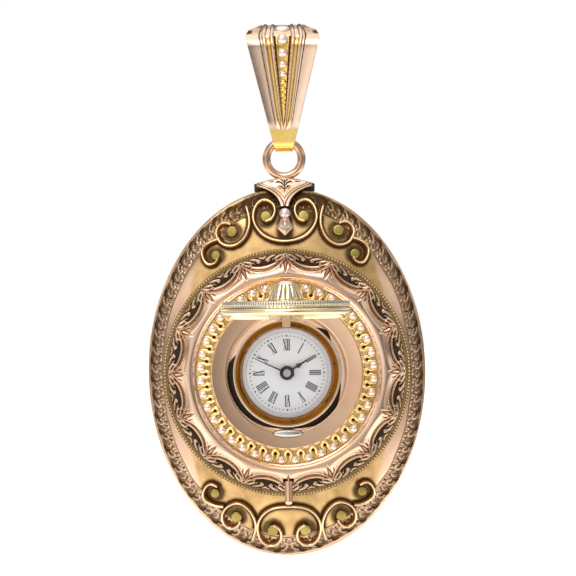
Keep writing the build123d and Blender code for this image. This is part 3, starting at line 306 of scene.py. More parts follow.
def polish_group():
    """Worn polish: a slow cloud mixes two tones of the metal, a fine cloud dulls it, and hairlines ripple it."""
    group, add, given = node_group(
        "hand_worn_polish",
        {"Bright tone": (1, 0.8, 0.6, 1), "Deep tone": (0.8, 0.5, 0.3, 1), "Least roughness": 0.1,
         "Most roughness": 0.3, "Grain size": 900.0, "Grain depth": 0.1, "Cloud size": 140.0},
        {"Color": "Color", "Roughness": "Float", "Normal": "Vector"})
    cloud, fine = noise(add, given["Cloud size"], 4.0, 0.6), noise(add, given["Grain size"], 5.0, 0.65)
    spread = add("MapRange", {"Value": cloud, "From Min": 0.32, "From Max": 0.68})
    both = add("Math", {0: cloud, 1: fine}, operation="MULTIPLY")
    rough = add("MapRange", {"Value": both, "From Min": 0.1, "From Max": 0.45, "To Min": given["Least roughness"],
                             "To Max": given["Most roughness"]})
    bump = add("Bump", {"Height": fine, "Strength": given["Grain depth"], "Distance": 0.00005})
    add("NodeGroupOutput", {"Color": mixed(add, spread, given["Bright tone"], given["Deep tone"]),
                            "Roughness": rough, "Normal": bump}, None)
    return group


def patina_and_shade_group():
    """Grime in the cut work and painted shade elsewhere: the recess value and a cloud choose between the clean tone and
    a dark one.
    """
    group, add, given = node_group(
        "patina_and_painted_shade",
        {"Clean": (1, 1, 1, 1), "Dirt": (0.1, 0.05, 0.02, 1), "Recess": 0.0, "Start": 0.2, "Full": 0.8,
         "Clean roughness": 0.2}, {"Color": "Color", "Roughness": "Float"})
    wobble = add("Math", {0: noise(add, 1400.0, 3.0), 1: 0.35, 2: -0.17}, operation="MULTIPLY_ADD")
    depth = add("Math", {0: given["Recess"], 1: wobble}, operation="ADD")
    amount = add("MapRange", {"Value": depth, "From Min": given["Start"], "From Max": given["Full"]},
                 interpolation_type="SMOOTHSTEP")
    rough = add("MapRange", {"Value": amount, "To Min": given["Clean roughness"], "To Max": 0.6})
    add("NodeGroupOutput", {"Color": mixed(add, amount, given["Clean"], given["Dirt"]), "Roughness": rough}, None)
    return group


worn_polish = polish_group()
patina_and_shade_tree = patina_and_shade_group()


def new_finish(name):
    """A new material with an empty tree, and the maker of its nodes."""
    finish = bpy.data.materials.new(name)
    finish.use_nodes = True
    finish.node_tree.nodes.clear()
    return finish, maker(finish.node_tree)


def polish_for(add, bright, deep, rough, grain, cloud=140.0):
    """The worn polish with one metal's tones, range of roughness, grain and size of cloud."""
    given = (*bright, 1), (*deep, 1), *rough, *grain, cloud
    return add("Group", dict(enumerate(given)), None, node_tree=worn_polish).outputs


def metal(name, bright, deep, rough, grain=(900, 0.1), dirt_and_shade=None, span=(0.2, 0.8), bloomed=None):
    """A metal with worn polish, and old grime and painted shade where the piece's recess value is high.

    bloomed is a second polish, which the piece's bloom value mixes in."""
    finish, add = new_finish(name)
    polish = polish_for(add, bright, deep, rough, grain)
    colour, roughness = polish["Color"], polish["Roughness"]
    if bloomed:
        second, share = polish_for(add, *bloomed), add("Attribute", pick="Fac", attribute_name="bloom")
        colour = mixed(add, share, colour, second["Color"])
        roughness = add("Mix", {"Factor": share, 2: roughness, 3: second["Roughness"]})
    if dirt_and_shade:
        recess = add("Attribute", pick="Fac", attribute_name="recess")
        patina_and_shade = add("Group", {"Clean": colour, "Clean roughness": roughness, "Recess": recess, "Dirt": (*dirt_and_shade, 1),
                               "Start": span[0], "Full": span[1]}, None, node_tree=patina_and_shade_tree).outputs
        colour, roughness = patina_and_shade["Color"], patina_and_shade["Roughness"]
    shader = add("BsdfPrincipled", {"Base Color": colour, "Roughness": roughness, "Normal": polish["Normal"],
                                    "Metallic": 1.0})
    add("OutputMaterial", {"Surface": shader}, None)
    return finish


def clouded(name, first, second, size, detail, given):
    """Enamel, ink or stone: a cloud mixes two tones, and the shader's other values are given."""
    finish, add = new_finish(name)
    tone = mixed(add, noise(add, size, detail), (*first, 1), (*second, 1))
    add("OutputMaterial", {"Surface": add("BsdfPrincipled", {"Base Color": tone, **given})}, None)
    return finish


def glass_finish():
    """Clear watch glass: rays that cast shadows go through it, and its gloss shows by Fresnel alone."""
    finish, add = new_finish("clear_watch_glass")
    gloss = add("BsdfPrincipled", {"Base Color": (1, 1, 1, 1), "Roughness": 0.02, "Transmission Weight": 1.0,
                                   "IOR": 1.45})
    sight = add("Math", {0: add("LightPath", pick="Is Camera Ray"), 1: add("Fresnel", {"IOR": 1.3})},
                operation="MULTIPLY")
    seen = add("MixShader", {0: sight, 1: add("BsdfTransparent"), 2: gloss})
    add("OutputMaterial", {"Surface": seen}, None)
    return finish


BROWN, DARK = (0.15, 0.075, 0.03), (0.03, 0.018, 0.01)
rose_polish = metal("rose_gold_polished", (0.9, 0.64, 0.47), (0.82, 0.54, 0.36), (0.12, 0.24), (700, 0.05))
rose_satin = metal("rose_gold_satin", (0.9, 0.6, 0.4), (0.82, 0.52, 0.33), (0.2, 0.32), (900, 0.08))
rose_chased = metal("rose_gold_chased", (0.92, 0.66, 0.49), (0.85, 0.57, 0.39), (0.12, 0.24), (700, 0.05),
                    (0.24, 0.1, 0.03), (0.12, 0.8))
rose_bright = metal("bright_rose_beads", (1, 0.88, 0.8), (0.95, 0.77, 0.67), (0.36, 0.48), (700, 0.03))
ring_gold = metal("ring_rose_gold", (0.74, 0.5, 0.35), (0.6, 0.38, 0.25), (0.18, 0.3), (900, 0.08))
yellow_polish = metal("yellow_gold_polished", (1, 0.79, 0.4), (0.92, 0.66, 0.28), (0.16, 0.3), (900, 0.06),
                      BROWN, (0.3, 0.9))
green_gold = metal("pale_gold_wire", (0.94, 0.73, 0.48), (0.86, 0.6, 0.32), (0.14, 0.26), (900, 0.06),
                   (0.46, 0.19, 0.03), (0, 0.9))
pellet_gold = metal("green_gold_pellets", (0.5, 0.38, 0.12), (0.34, 0.25, 0.07), (0.3, 0.5), (2600, 0.9))
old_gold = metal("old_gold_lid", (1, 0.88, 0.62), (0.93, 0.77, 0.49), (0.1, 0.2), (900, 0.08), BROWN, (0.3, 0.9))
worn_silvered = metal("worn_knurled_rim", (0.84, 0.84, 0.8), (0.64, 0.62, 0.55), (0.25, 0.42), (1800, 0.3), DARK,
                      (0.3, 0.8))
worn_chasing = metal("worn_rose_chasing", (0.82, 0.64, 0.48), (0.58, 0.42, 0.29), (0.2, 0.4), (1800, 0.3),
                     (0.075, 0.045, 0.028), (0, 0.6))
rehaut_gold = metal("brown_gold_rehaut", (0.44, 0.16, 0.012), (0.25, 0.08, 0.006), (0.14, 0.28), (900, 0.08))
brass = metal("gilt_movement_brass", (0.88, 0.66, 0.3), (0.8, 0.57, 0.23), (0.28, 0.42), (2200, 0.35))
steel = metal("polished_steel", (0.66, 0.64, 0.62), (0.52, 0.5, 0.48), (0.14, 0.3), (1500, 0.1))
dark_steel = metal("browned_steel_hands", (0.1, 0.085, 0.09), (0.06, 0.05, 0.055), (0.18, 0.32), (1500, 0.1))
blued_screw = metal("blued_steel_screws", (0.04, 0.07, 0.22), (0.02, 0.04, 0.14), (0.15, 0.28), (1500, 0.1))
gallery_ground = metal("gallery_ground_gold", (0.86, 0.62, 0.3), (0.66, 0.42, 0.17), (0.25, 0.45), (1800, 0.4))
# The dark tone of the gallery's holes: painted shade.
hole_shade_finish = metal("painted_shade_in_gallery_holes", (0.16, 0.085, 0.03), (0.08, 0.04, 0.015), (0.4, 0.6), (1500, 0.3))
# The cove's dark tone: painted reflection in two crescents.
cove_finish = metal("cove_rose_gold_painted_reflection", (1, 0.84, 0.72), (0.94, 0.76, 0.62), (0.3, 0.42), (900, 0.06),
                    (0.035, 0.03, 0.022), (0.2, 0.75))
bail_rose = metal("bail_rose_gold", (0.93, 0.72, 0.56), (0.86, 0.62, 0.46), (0.14, 0.26), (700, 0.05),
                  (0.1, 0.06, 0.03))
bail_yellow = metal("bail_yellow_gold", (1, 0.74, 0.26), (0.84, 0.56, 0.14), (0.14, 0.28), (1400, 0.2),
                    (0.1, 0.05, 0.015))
lilac_bead = metal("lilac_rose_bead", (0.88, 0.76, 0.8), (0.72, 0.58, 0.61), (0.36, 0.46), (700, 0.05))
fan_rose = metal("fan_rose_gold", (0.9, 0.69, 0.54), (0.78, 0.56, 0.41), (0.2, 0.34), (900, 0.08),
                 (0.07, 0.04, 0.02))
mill_ground = metal("milled_edge_ground", (0.62, 0.45, 0.24), (0.46, 0.31, 0.15), (0.26, 0.42), (1500, 0.2),
                    (0.14, 0.085, 0.04), (0.1, 0.9))
mill_beads = metal("milled_bead_gold", (0.74, 0.53, 0.28), (0.56, 0.37, 0.17), (0.2, 0.36), (1500, 0.1))
collar_rose = metal("collar_rose_gold", (0.96, 0.78, 0.64), (0.88, 0.68, 0.52), (0.2, 0.34), (900, 0.06),
                    (0.05, 0.022, 0.008), (0.45, 0.9))
plate_rose = metal("inner_plate_rose", (0.9, 0.62, 0.43), (0.82, 0.53, 0.35), (0.1, 0.2), (600, 0.03))
case_gold = metal("case_front_gold", (0.84, 0.58, 0.42), (0.74, 0.48, 0.33), (0.16, 0.3), (900, 0.12),
                  (0.08, 0.042, 0.018), (0.05, 1),
                  bloomed=((0.8, 0.53, 0.245), (0.52, 0.33, 0.135), (0.26, 0.46), (2600, 0.35), 380.0))
enamel = clouded("white_enamel", (0.6, 0.62, 0.67), (0.68, 0.68, 0.71), 260.0, 3.0,
                 {"Roughness": 0.25, "Coat Weight": 0.4})
ink = clouded("black_dial_print", (0.045, 0.045, 0.055), (0.1, 0.1, 0.12), 5200.0, 2.0, {"Roughness": 0.35})
pale_ink = clouded("grey_dial_print", (0.24, 0.25, 0.29), (0.38, 0.38, 0.42), 5200.0, 2.0, {"Roughness": 0.35})
moon_stone = clouded("pale_blue_stone", (0.55, 0.62, 0.78), (0.85, 0.87, 0.92), 900.0, 4.0,
                     {"Roughness": 0.08, "Coat Weight": 0.6, "Subsurface Weight": 0.2,
                      "Subsurface Radius": (0.001, 0.001, 0.0012)})
ruby = clouded("pink_jewel", (0.45, 0.02, 0.07), (0.75, 0.08, 0.18), 1500.0, 2.0,
               {"Roughness": 0.08, "Coat Weight": 0.8})

for finish, names in (
        (rose_polish, "case_middle back_cover boss inner_plate push_peg lift_finger back_hinge_knuckles "
                      "back_hinge_pin"),
        (rose_satin, "dust_cover lid_hinge_knuckles"), (ring_gold, "pendant_ring"), (rehaut_gold, "rehaut"),
        (steel, "cannon_pinion winding_arbor ratchet_wheel click mainspring"),
        (blued_screw, "bridge_screws hairspring"),
        (brass, "main_plate pillars movement_ring barrel_bridge train_bridge balance_cock hour_wheel minute_wheel "
                "centre_wheel third_wheel fourth_wheel escape_wheel balance_wheel"),
        (enamel, "dial"), (glass_finish(), "crystal"), (moon_stone, "stone"), (ruby, "jewels"),
        (yellow_polish, "lid_hinge_pin barrel")):
    for name in names.split():
        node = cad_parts[name]
        if not node.material_slots:
            node.data.materials.append(finish)
        for held in node.material_slots:
            held.material = finish


# The dome: its heights, as shares of the full one, at shares of the way out to the rim
PROFILE = (0.5, 0.6, 0.667, 0.78, 0.885, 0.985, 1.0), (1.0, 1.0, 0.956, 0.833, 0.644, 0.29, 0.24)
EASING = np.linspace(-0.05, 0.05, 9)
WEIGHTS = np.cos(EASING / 0.05 * np.pi / 2.2)


def dome_forward(share):
    """The dome's depth at a share of the oval: straight runs between the case's heights, eased over a short way."""
    eased = sum(w * np.interp(share + o, *PROFILE) for o, w in zip(EASING, WEIGHTS)) / WEIGHTS.sum()
    near_rim = ramp(share, 0.93, 0.98)
    return DOME_HEIGHT * (eased * (1 - near_rim) + np.interp(share, *PROFILE) * near_rim)


def dome_at(across, up):
    """The dome's depth at a place; its share of the oval is the length of (across / half width, up / half height)."""
    return dome_forward(np.hypot(across / HALF_WIDTH, up / HALF_HEIGHT))


def dome_normal(across, up, step=0.05):
    """The dome's outward direction at places, from small steps across and up."""
    fx = (dome_at(across + step, up) - dome_at(across - step, up)) / (2 * step)
    fz = (dome_at(across, up + step) - dome_at(across, up - step)) / (2 * step)
    return unit(np.stack([-fx, -np.ones_like(fx), -fz], axis=-1))


# Scrollwork: places on the face as shares of the half width and half height
SCALE = np.array([HALF_WIDTH, HALF_HEIGHT]) * 0.986
top_scroll = mirrored([(-0.142, 0.822), (-0.109, 0.829), (-0.082, 0.852), (-0.0722, 0.893), (-0.1427, 0.936),
                       (-0.2254, 0.862), (-0.1646, 0.7555), (0.0, 0.7136)])
bottom_scroll = mirrored([(-0.115, -0.832), (-0.083, -0.843), (-0.058, -0.875), (-0.0722, -0.92), (-0.14, -0.942),
                          (-0.2268, -0.8438), (-0.161, -0.7555), (0.0, -0.7296)])
upper_runs = [[(-0.274, 0.899), (-0.255, 0.822), (-0.276, 0.757), (-0.373, 0.693), (-0.465, 0.711), (-0.488, 0.775),
               (-0.436, 0.815), (-0.388, 0.806)],
              [(-0.47, 0.73), (-0.513, 0.721), (-0.595, 0.662), (-0.545, 0.592), (-0.5, 0.606), (-0.487, 0.625)]]
lower_runs = [[(-0.264, -0.909), (-0.239, -0.843), (-0.274, -0.757), (-0.377, -0.7087), (-0.479, -0.78),
               (-0.415, -0.845), (-0.365, -0.826), (-0.35, -0.806)],
              [(-0.47, -0.727), (-0.52, -0.722), (-0.614, -0.655), (-0.56, -0.603), (-0.512, -0.617)]]
# Each pellet on the right: its place, its radius and the room that its curl leaves round it
pellets = (((0.137, 0.852), 0.82, 1.0), ((0.386, 0.773), 0.82, 0.9), ((0.117, -0.863), 0.82, 1.0),
           ((0.38, -0.7875), 0.82, 0.9), ((0.503, 0.643), 0.7, 0.85), ((0.532, -0.655), 0.7, 0.85))


def shade_and_dirt_by_scrolls(across, up):
    """Painted shade and old grime on the field: full round each pellet inside its curl, fading away over half a mm from
    each wire.

    A painted shadow also lies under the saddle's stem and drop."""
    aside, dirt_and_shade = np.abs(across), np.zeros(across.shape, np.float32)
    for place, radius, room in pellets:
        x, z = np.array(place) * SCALE
        dirt_and_shade = np.maximum(dirt_and_shade, 0.8 * np.clip((radius + room + 0.3 - np.hypot(aside - x, up - z)) / 0.7, 0, 1))
    for line in (top_scroll, bottom_scroll, *upper_runs, *lower_runs):
        away = np.full(across.shape, 9.0, np.float32)
        for x, z in smooth_line(np.array(line) * SCALE, 90).astype(np.float32):
            away = np.minimum(away, np.hypot(aside - abs(x), up - z))
        dirt_and_shade = np.maximum(dirt_and_shade, bell(np.maximum(away, 0.3), 0.3, 0.4))
    # Painted shadow of the stem and drop: a dark streak down the field below them.
    stem_middle, half_stem, stem_width = 23.0, 3.2, 0.7
    stem = np.hypot(across, np.maximum(np.abs(up - stem_middle) - half_stem, 0))
    return np.maximum(dirt_and_shade, 0.95 * bell(np.maximum(stem, stem_width), stem_width, 0.75))


MOTIF = 2.54
RAISED_WORK = (
    ([(1.2, 0.55), (1.75, 0.6), (2.2, 0.9), (2.3, 1.3), (1.95, 1.5), (1.75, 1.25)],
     [0.06, 0.12, 0.14, 0.12, 0.09, 0.06], 0.8),
    ([(0.25, 0.82), (0.7, 0.92), (0.9, 1.25), (0.7, 1.5)], [0.05, 0.12, 0.12, 0.05], 0.7),
    ([(1.45, 0.3), (1.9, 0.38)], [0.05, 0.08], 0.6), ([(0.0, 1.2), (0.3, 1.5)], [0.04, 0.08], 0.6),
    ([(1.3, 1.45), (1.42, 1.9)], [0.07, 0.12], 0.6), ([(2.3, 1.75), (2.62, 1.95)], [0.07, 0.12], 0.6),
    ([(0.5, 1.93), (0.52, 1.95)], [0.17, 0.17], 1.1), ([(1.78, 1.84), (1.8, 1.85)], [0.14, 0.14], 1.0),
    ([(1.52, 1.12), (1.53, 1.13)], [0.13, 0.13], 0.9))
DEEP_CUTS = (
    ([(0.2, 0.36), (0.7, 0.34), (1.1, 0.5), (1.25, 0.95)], [0.06, 0.17, 0.16, 0.06]),
    ([(1.45, 0.78), (1.95, 0.98)], [0.04, 0.05]), ([(1.0, 1.72), (1.25, 1.3)], [0.05, 0.09]),
    ([(2.05, 1.62), (2.15, 2.0)], [0.06, 0.08]), ([(0.12, 1.4), (0.3, 1.8)], [0.05, 0.08]))


def leaf_border(t, v, stray):
    """Height and recess of the cut border over one motif: x runs along 2.54 mm of it, y inwards from the rim.

    A plain roll, then a brown ground with a deep comma, two curled leaves, small nibs and bright dots, then a line.
    stray moves each motif's strokes a little, as hand work does."""
    x, y = t * MOTIF + 0.22 * stray, v * 2.3 + 0.13 * np.roll(stray, 31, 0)
    raised, deep = (np.max([strokes(x + shift, y, runs) for shift in (-MOTIF, 0.0, MOTIF)], 0)
                    for runs in (RAISED_WORK, DEEP_CUTS))
    inside = ramp(y, 0.16, 0.26) * ramp(y, 2.12, 2.02)
    line = bell(y, 2.2, 0.06)
    height = inside * (-0.35 + raised - 0.6 * deep * (raised < 0.2)) - 0.5 * line
    fine = 0.12 * np.sin(x * 19 + 3 * y) * np.sin(y * 17 - 2 * x)
    recess = inside * (0.38 + 0.3 * bell(y, 0.7, 0.5) + 2.2 * fine + 1.1 * deep - 0.55 * raised) + 0.8 * line + 0.15
    return height, np.clip(recess, 0, 1)


def engraved_dome():
    """The case front: points (20.5 s sin a, 27.2 s cos a) with the dome's depth, raised and cut by the leaf border.

    s falls from 1 at the rim to the round opening under the boss; the inside wall runs back at a constant gap."""
    leaves, border_rows, field_rows = 56, 31, 32
    columns = leaves * 23
    outer, inner, opening = 0.995, 0.889, 17.9
    fine = np.linspace(0, TURN, 20001)
    run = np.hypot(np.diff(HALF_WIDTH * np.sin(fine)), np.diff(HALF_HEIGHT * np.cos(fine)))
    walk = np.concatenate([[0], np.cumsum(run)])
    angle = np.interp(np.linspace(0, walk[-1], columns, endpoint=False), walk, fine)[:, None]
    leaf = np.arange(columns) / columns * leaves
    t = (leaf % 1.0)[:, None]
    t = np.where(angle > np.pi, 1 - t, t)
    hole = opening / np.hypot(HALF_WIDTH * np.sin(angle), HALF_HEIGHT * np.cos(angle))
    border = np.broadcast_to(np.linspace(0, 1, border_rows), (columns, border_rows))
    s_border = outer + (inner - outer) * border
    s_field = inner + (np.minimum(hole, inner - 0.004) - inner) * np.linspace(0, 1, field_rows + 1)[None, 1:]
    chance = np.random.default_rng(7).uniform(-1, 1, leaves)
    relief, recess = leaf_border(t, border, np.interp(leaf, np.arange(leaves), chance)[:, None])
    last = s_field[:, -1:]
    s = beside(columns, 1.0, 1.0, s_border, s_field, last, last + 0.02, 0.93, 0.965)
    f = beside(columns, 0.0, 0.85, dome_forward(s_border) + 0.13 * relief - 0.03, dome_forward(s_field),
               dome_forward(last) - 0.5, dome_forward(last) - 0.6, 1.0, 0.0)
    across, up = HALF_WIDTH * s * np.sin(angle), HALF_HEIGHT * s * np.cos(angle)
    edge, field = slice(2, 2 + border_rows), slice(2 + border_rows, 2 + border_rows + field_rows)
    dirt_and_shade, bloom = np.zeros(s.shape), np.zeros(s.shape)
    fan_half = 4.5
    # Painted shadow of the saddle's fan: the border darkens near it, above the middle.
    painted_fan_shadow = bell(np.maximum(np.abs(across[:, edge]), fan_half), fan_half, 3.0) * (up[:, edge] > 0)
    dirt_and_shade[:, edge] = np.clip(recess + 0.45 * painted_fan_shadow, 0, 1)
    dirt_and_shade[:, field] = shade_and_dirt_by_scrolls(across[:, field].astype(np.float32), up[:, field].astype(np.float32))
    bloom_half, bloom_level, slant, fade = 13.9, 12.8, 0.25, 0.9
    within = bloom_half - slant * (np.abs(up) - bloom_level) - np.abs(across)
    share = np.clip(within / fade + 0.5, 0, 1) * (np.abs(up) > 9)
    bloom[:, field] = (share * share * (3 - 2 * share))[:, field]
    # The border's top half takes more of the darker bloomed tone than its bottom half.
    bloom[:, edge] = 0.2 + (0.5 * share * (up > 0))[:, edge]
    return closed_grid(on_face(across, up, f), dirt_and_shade), bloom.reshape(-1)


dome_part, dome_bloom = engraved_dome()
piece("case_front_engraved", dome_part, case_gold, "case_front", sharp=50, bloom=dome_bloom)

# The boss: milled edge, chased ground and scalloped skin
# The band under the beads is darkened to 0.6 of its dark tone, so the gaps between the beads are dark.
milled_band = turned(rounded([(17.3, 4.25), (18.1, 4.25), (18.1, 5.12), (17.3, 5.2)], 0.16), 240, 0.6)
milled_beads = copies(ball(8, 5, -30), places_round(17.87, 5.14, 240, 0.19))
piece("milled_edge", [(milled_band, 0), (milled_beads, 1)], [mill_ground, mill_beads], "milled_ring", weld=True)

SCALLOPS, CUSP, VALLEY, BITE = 16, 17.2, 15.45, 4.68
CREST, CREST_LEVEL, EDGE_LEVEL, SKIN_INSIDE, PEG_ROOM = 14.3, 7.66, 5.5, 13.4, 0.72


def bay_angle(angle):
    """The angle from the middle of the nearest bay between two cusps, in radians."""
    step = TURN / SCALLOPS
    return (angle % step) - step / 2


def from_cusp(angle):
    """The angle from the nearest cusp, in radians."""
    return bay_angle(angle + TURN / SCALLOPS / 2)


def scallop_edge(angle):
    """The skin's edge: where a ray from the centre meets the circle bitten out of the bay."""
    away, place = bay_angle(angle), VALLEY + BITE
    return place * np.cos(away) - np.sqrt(np.maximum(BITE ** 2 - (place * np.sin(away)) ** 2, 0))


def scalloped_skin():
    """The polished skin from the ring's crest out to the scallops: 5.5 + 2.16 (1 - w^2.5)^0.62 at every angle.

    w runs from crest to edge. A roll 0.48 mm wide follows the edge, and petals fan inwards from each cusp."""
    columns = SCALLOPS * 56
    angle = circle(columns)[:, None]
    edge = scallop_edge(angle)
    w = np.linspace(0, 1, 46)[None, :] ** 0.8
    r = CREST + (edge - CREST) * w
    f = EDGE_LEVEL + (CREST_LEVEL - EDGE_LEVEL) * np.clip(1 - w ** 2.5, 0, 1) ** 0.62
    gap, outer = edge - r, ramp(w, 0.5, 0.5 + 1 / 3)
    roll, groove = bulge(gap, 0.22, 0.24) * outer, bell(gap, 0.56, 0.09) * outer
    petals = strokes(np.abs(from_cusp(angle) * r), CUSP - r, (
        ([(0.03, 0.35), (0.26, 0.9), (0.2, 1.6), (0.0, 2.5)], [0.1, 0.15, 0.12, 0.05]),
        ([(0.3, 0.6), (0.62, 1.1), (0.78, 1.95)], [0.08, 0.13, 0.05]),
        ([(0.55, 0.75), (1.0, 1.15), (1.35, 1.85)], [0.08, 0.13, 0.05]),
        ([(0.95, 0.9), (1.45, 1.2), (1.95, 1.6)], [0.07, 0.11, 0.05]))) * (gap > 0.5)
    recess = beside(columns, *[0.0] * 8, np.clip(0.75 * groove + 0.9 * petals, 0, 1), 1.0, 1.0, 0.0)
    inner_r = np.linspace(SKIN_INSIDE, CREST, 9)[:-1]
    inner_f = 6.75 + 0.91 * np.clip(1 - ((CREST - inner_r) / 0.92) ** 3, 0, 1) ** 0.5
    r, f = beside(columns, inner_r, r), beside(columns, inner_f, f + 0.16 * roll - 0.10 * groove - 0.13 * petals)
    x = r * np.sin(angle)
    peg = (np.abs(x) < PEG_ROOM) & (np.cos(angle) < 0) & (r > 15.35)
    f = np.where(peg, np.minimum(f, 6.15 - np.sqrt(np.clip(PEG_ROOM ** 2 - x ** 2, 0, 1))), f)
    r = beside(columns, r, edge - 0.02, edge - 0.3, SKIN_INSIDE + 0.02)
    return closed_grid(on_ring(r, angle, beside(columns, f, 5.02, 5.01, 6.62)), recess)


def chased_ground():
    """The ground between the scallops and the milled edge: paired curls beside each cusp and a leaf along each bay.

    It is a flat ring at 5.03 mm plus 0.24 times the curls and 0.34 times a roll along the scallops' edge."""
    columns, inner, outer, level, back = SCALLOPS * 64, 15.42, 17.42, 5.03, 4.9
    angle = circle(columns)[:, None]
    r = np.linspace(inner, outer, 36)[None, :] + 0 * angle
    side, beyond = np.abs(from_cusp(angle)) * r, r - scallop_edge(angle)
    roll = bulge(beyond, 0.27, 0.26)
    relief = strokes(side, r, (
        ([(0.3, 17.3), (0.9, 17.15), (1.4, 16.85), (1.4, 16.5), (1.05, 16.45), (0.95, 16.7)],
         [0.1, 0.2, 0.22, 0.2, 0.16, 0.1]),
        ([(1.5, 17.3), (2.2, 17.1), (2.75, 16.75), (2.6, 16.5), (2.3, 16.6)], [0.1, 0.22, 0.24, 0.18, 0.1]),
        ([(1.75, 16.75), (2.0, 16.45)], [0.12, 0.08]), ([(2.9, 17.25), (3.5, 17.0), (3.5, 16.6)], [0.1, 0.2, 0.1]),
        ([(0.15, 16.95), (0.45, 16.6)], [0.15, 0.1])))
    veins = np.maximum(stroke(side, r, [(0.9, 17.2), (1.35, 16.95), (1.4, 16.6)], [0.05, 0.06, 0.05]),
                       stroke(side, r, [(2.2, 17.15), (2.65, 16.8)], [0.05, 0.06]))
    grain = 0.25 * np.sin(angle * 480) * np.sin(r * 24)
    # The band behind the scallops is darkened though it is not sunk: painted shade below the scallops' raised edge,
    # with patina.
    hollow = ramp(beyond, 0.5, 0.6) * ramp(beyond, 1.35, 1.05) * ramp(r, 16.9, 16.6)
    f = level + 0.24 * relief - 0.08 * veins + 0.03 * grain * (beyond > 0.6) + 0.34 * roll * (beyond < 0.54)
    recess = np.clip(0.5 + 0.5 * hollow - 0.8 * relief + 0.6 * veins - 0.2 * grain, 0, 1) * (1 - roll * (beyond < 0.5))
    grid = on_ring(beside(columns, r, outer, inner), angle, beside(columns, f, back, back))
    return closed_grid(grid, beside(columns, recess, 0.0, 0.0))


piece("scalloped_skin", scalloped_skin(), rose_chased, "scalloped_band", sharp=60)
piece("chased_ground", chased_ground(), worn_chasing)


# Gallery
def gallery_work():
    """Forty arches of round wire: each runs in from between two beads, turns round its hole and runs out again.

    Its line is (0.46 sin t + 0.3 b, 11.78 - 0.46 cos t + b): t turns up to 140 degrees each way, b runs out."""
    u, turning, loop, hole, level = np.linspace(-1, 1, 23), 0.72, 0.46, 11.78, 7.1
    sweep, away = np.radians(140) * np.clip(u / turning, -1, 1), ramp(np.abs(u), turning, 1.0)
    path = np.stack([loop * np.sin(sweep) + np.sign(u) * away * 0.3, hole - loop * np.cos(sweep) + away,
                     level + 0.1 * np.cos(u * np.pi)], axis=-1)
    along = unit(np.gradient(path, axis=0))
    up = np.broadcast_to([0.0, 0.0, 1.0], along.shape)
    section = np.stack([0.28 * np.cos(circle(8)), 0.31 * np.sin(circle(8))], -1)
    return copies(swept(path, unit(np.cross(up, along)), up, section), places_round(0.0, 0.0, 40, 1.0))


ground = turned(rounded([(11.15, 6.5), (13.45, 6.5), (13.45, 6.72), (11.15, 6.72)], 0.03), 160)
inner_wire = turned(np.stack([11.2 + 0.1 * np.cos(circle(8)), 6.97 + 0.14 * np.sin(circle(8))], -1), 160)
# Dark domes in the arches' holes: painted shade where the holes show only darkness.
hole_plugs = copies(ball(12, 4, 0), places_round(11.8, 6.7, 40, 0.25))
piece("gallery_arches", [(ground, 1), (gallery_work(), 0), (inner_wire, 0), (hole_plugs, 2)],
      [yellow_polish, gallery_ground, hole_shade_finish], "gallery_wire", weld=True)
piece("gallery_bright_beads", copies(ball(14, 8), places_round(12.62, 7.12, 40, 0.66, 4.5)), rose_bright,
      "gallery_beads", weld=True)


# Inner plate, collar and catch
def clear_of_finger(r, angle, f, low):
    """Depths held down to a level in the way of the lift finger, at the top of the dial."""
    return np.where((np.abs(r * np.sin(angle)) < 0.75) & (np.cos(angle) > 0), np.minimum(f, low), f)


def cove_lining():
    """The cove's lining: painted dark reflection in two crescents, low at the right and at the left, thinning to their
    ends.

    It is open over the lift finger. It is dark where the radius is under 7.9 plus 0.9 times the crescent's
    thickness at the angle."""
    inner, outer, back = 7.84, 8.74, 6.5
    slope = np.linspace(inner, outer, 15)
    rise = 6.58 + 0.34 * ramp(slope, 8.3, outer) ** 1.5
    outline = np.array([(inner, back), *zip(slope, rise), (8.5, back)])
    angle = np.radians(np.linspace(5.8, 354.2, 300))[:, None]
    thick = np.interp(np.degrees(angle), [0, 32, 38, 44, 50, 57, 96, 125, 150, 172, 190, 205, 235, 262, 280, 292, 360],
                      [0, 0, 0.45, 0.8, 0.5, 0, 0, 1.05, 1.05, 0.4, 0.4, 0.75, 1.05, 1.15, 0.9, 0, 0])
    r, f = outline.T[:, None, :]
    return capped(on_ring(r, angle, f), np.clip((7.9 + 0.9 * thick - r) / 0.2, 0, 1) * np.clip(thick * 4, 0, 1))


def plate_face():
    """The inner plate's face: a shallow dish, turned, that rises by 0.13 share^1.3 from the cove to the gallery."""
    share = np.arange(10) / 9
    dish = zip(8.8 + 2.36 * share, 6.935 + 0.13 * share ** 1.3)
    angle, r, f = all_round([(8.72, 6.86), (8.72, 6.91), (8.78, 6.93), *dish, (11.16, 6.86)], 240)
    return closed_grid(on_ring(r, angle, clear_of_finger(r, angle, f, 6.93)))


def collar_rim():
    """The collar's rim: a rounded outline turned about the dial's axis, its inner side darkened as painted shade."""
    outline = rounded([(7.44, 6.7), (7.85, 6.7), (7.85, 7.9), (7.74, 8.03), (7.5, 7.98)], 0.08)
    angle, r, f = all_round(outline, 220)
    return closed_grid(on_ring(r, angle, clear_of_finger(r, angle, f, 6.72)), ramp(r, 7.68, 7.56) + 0.35)


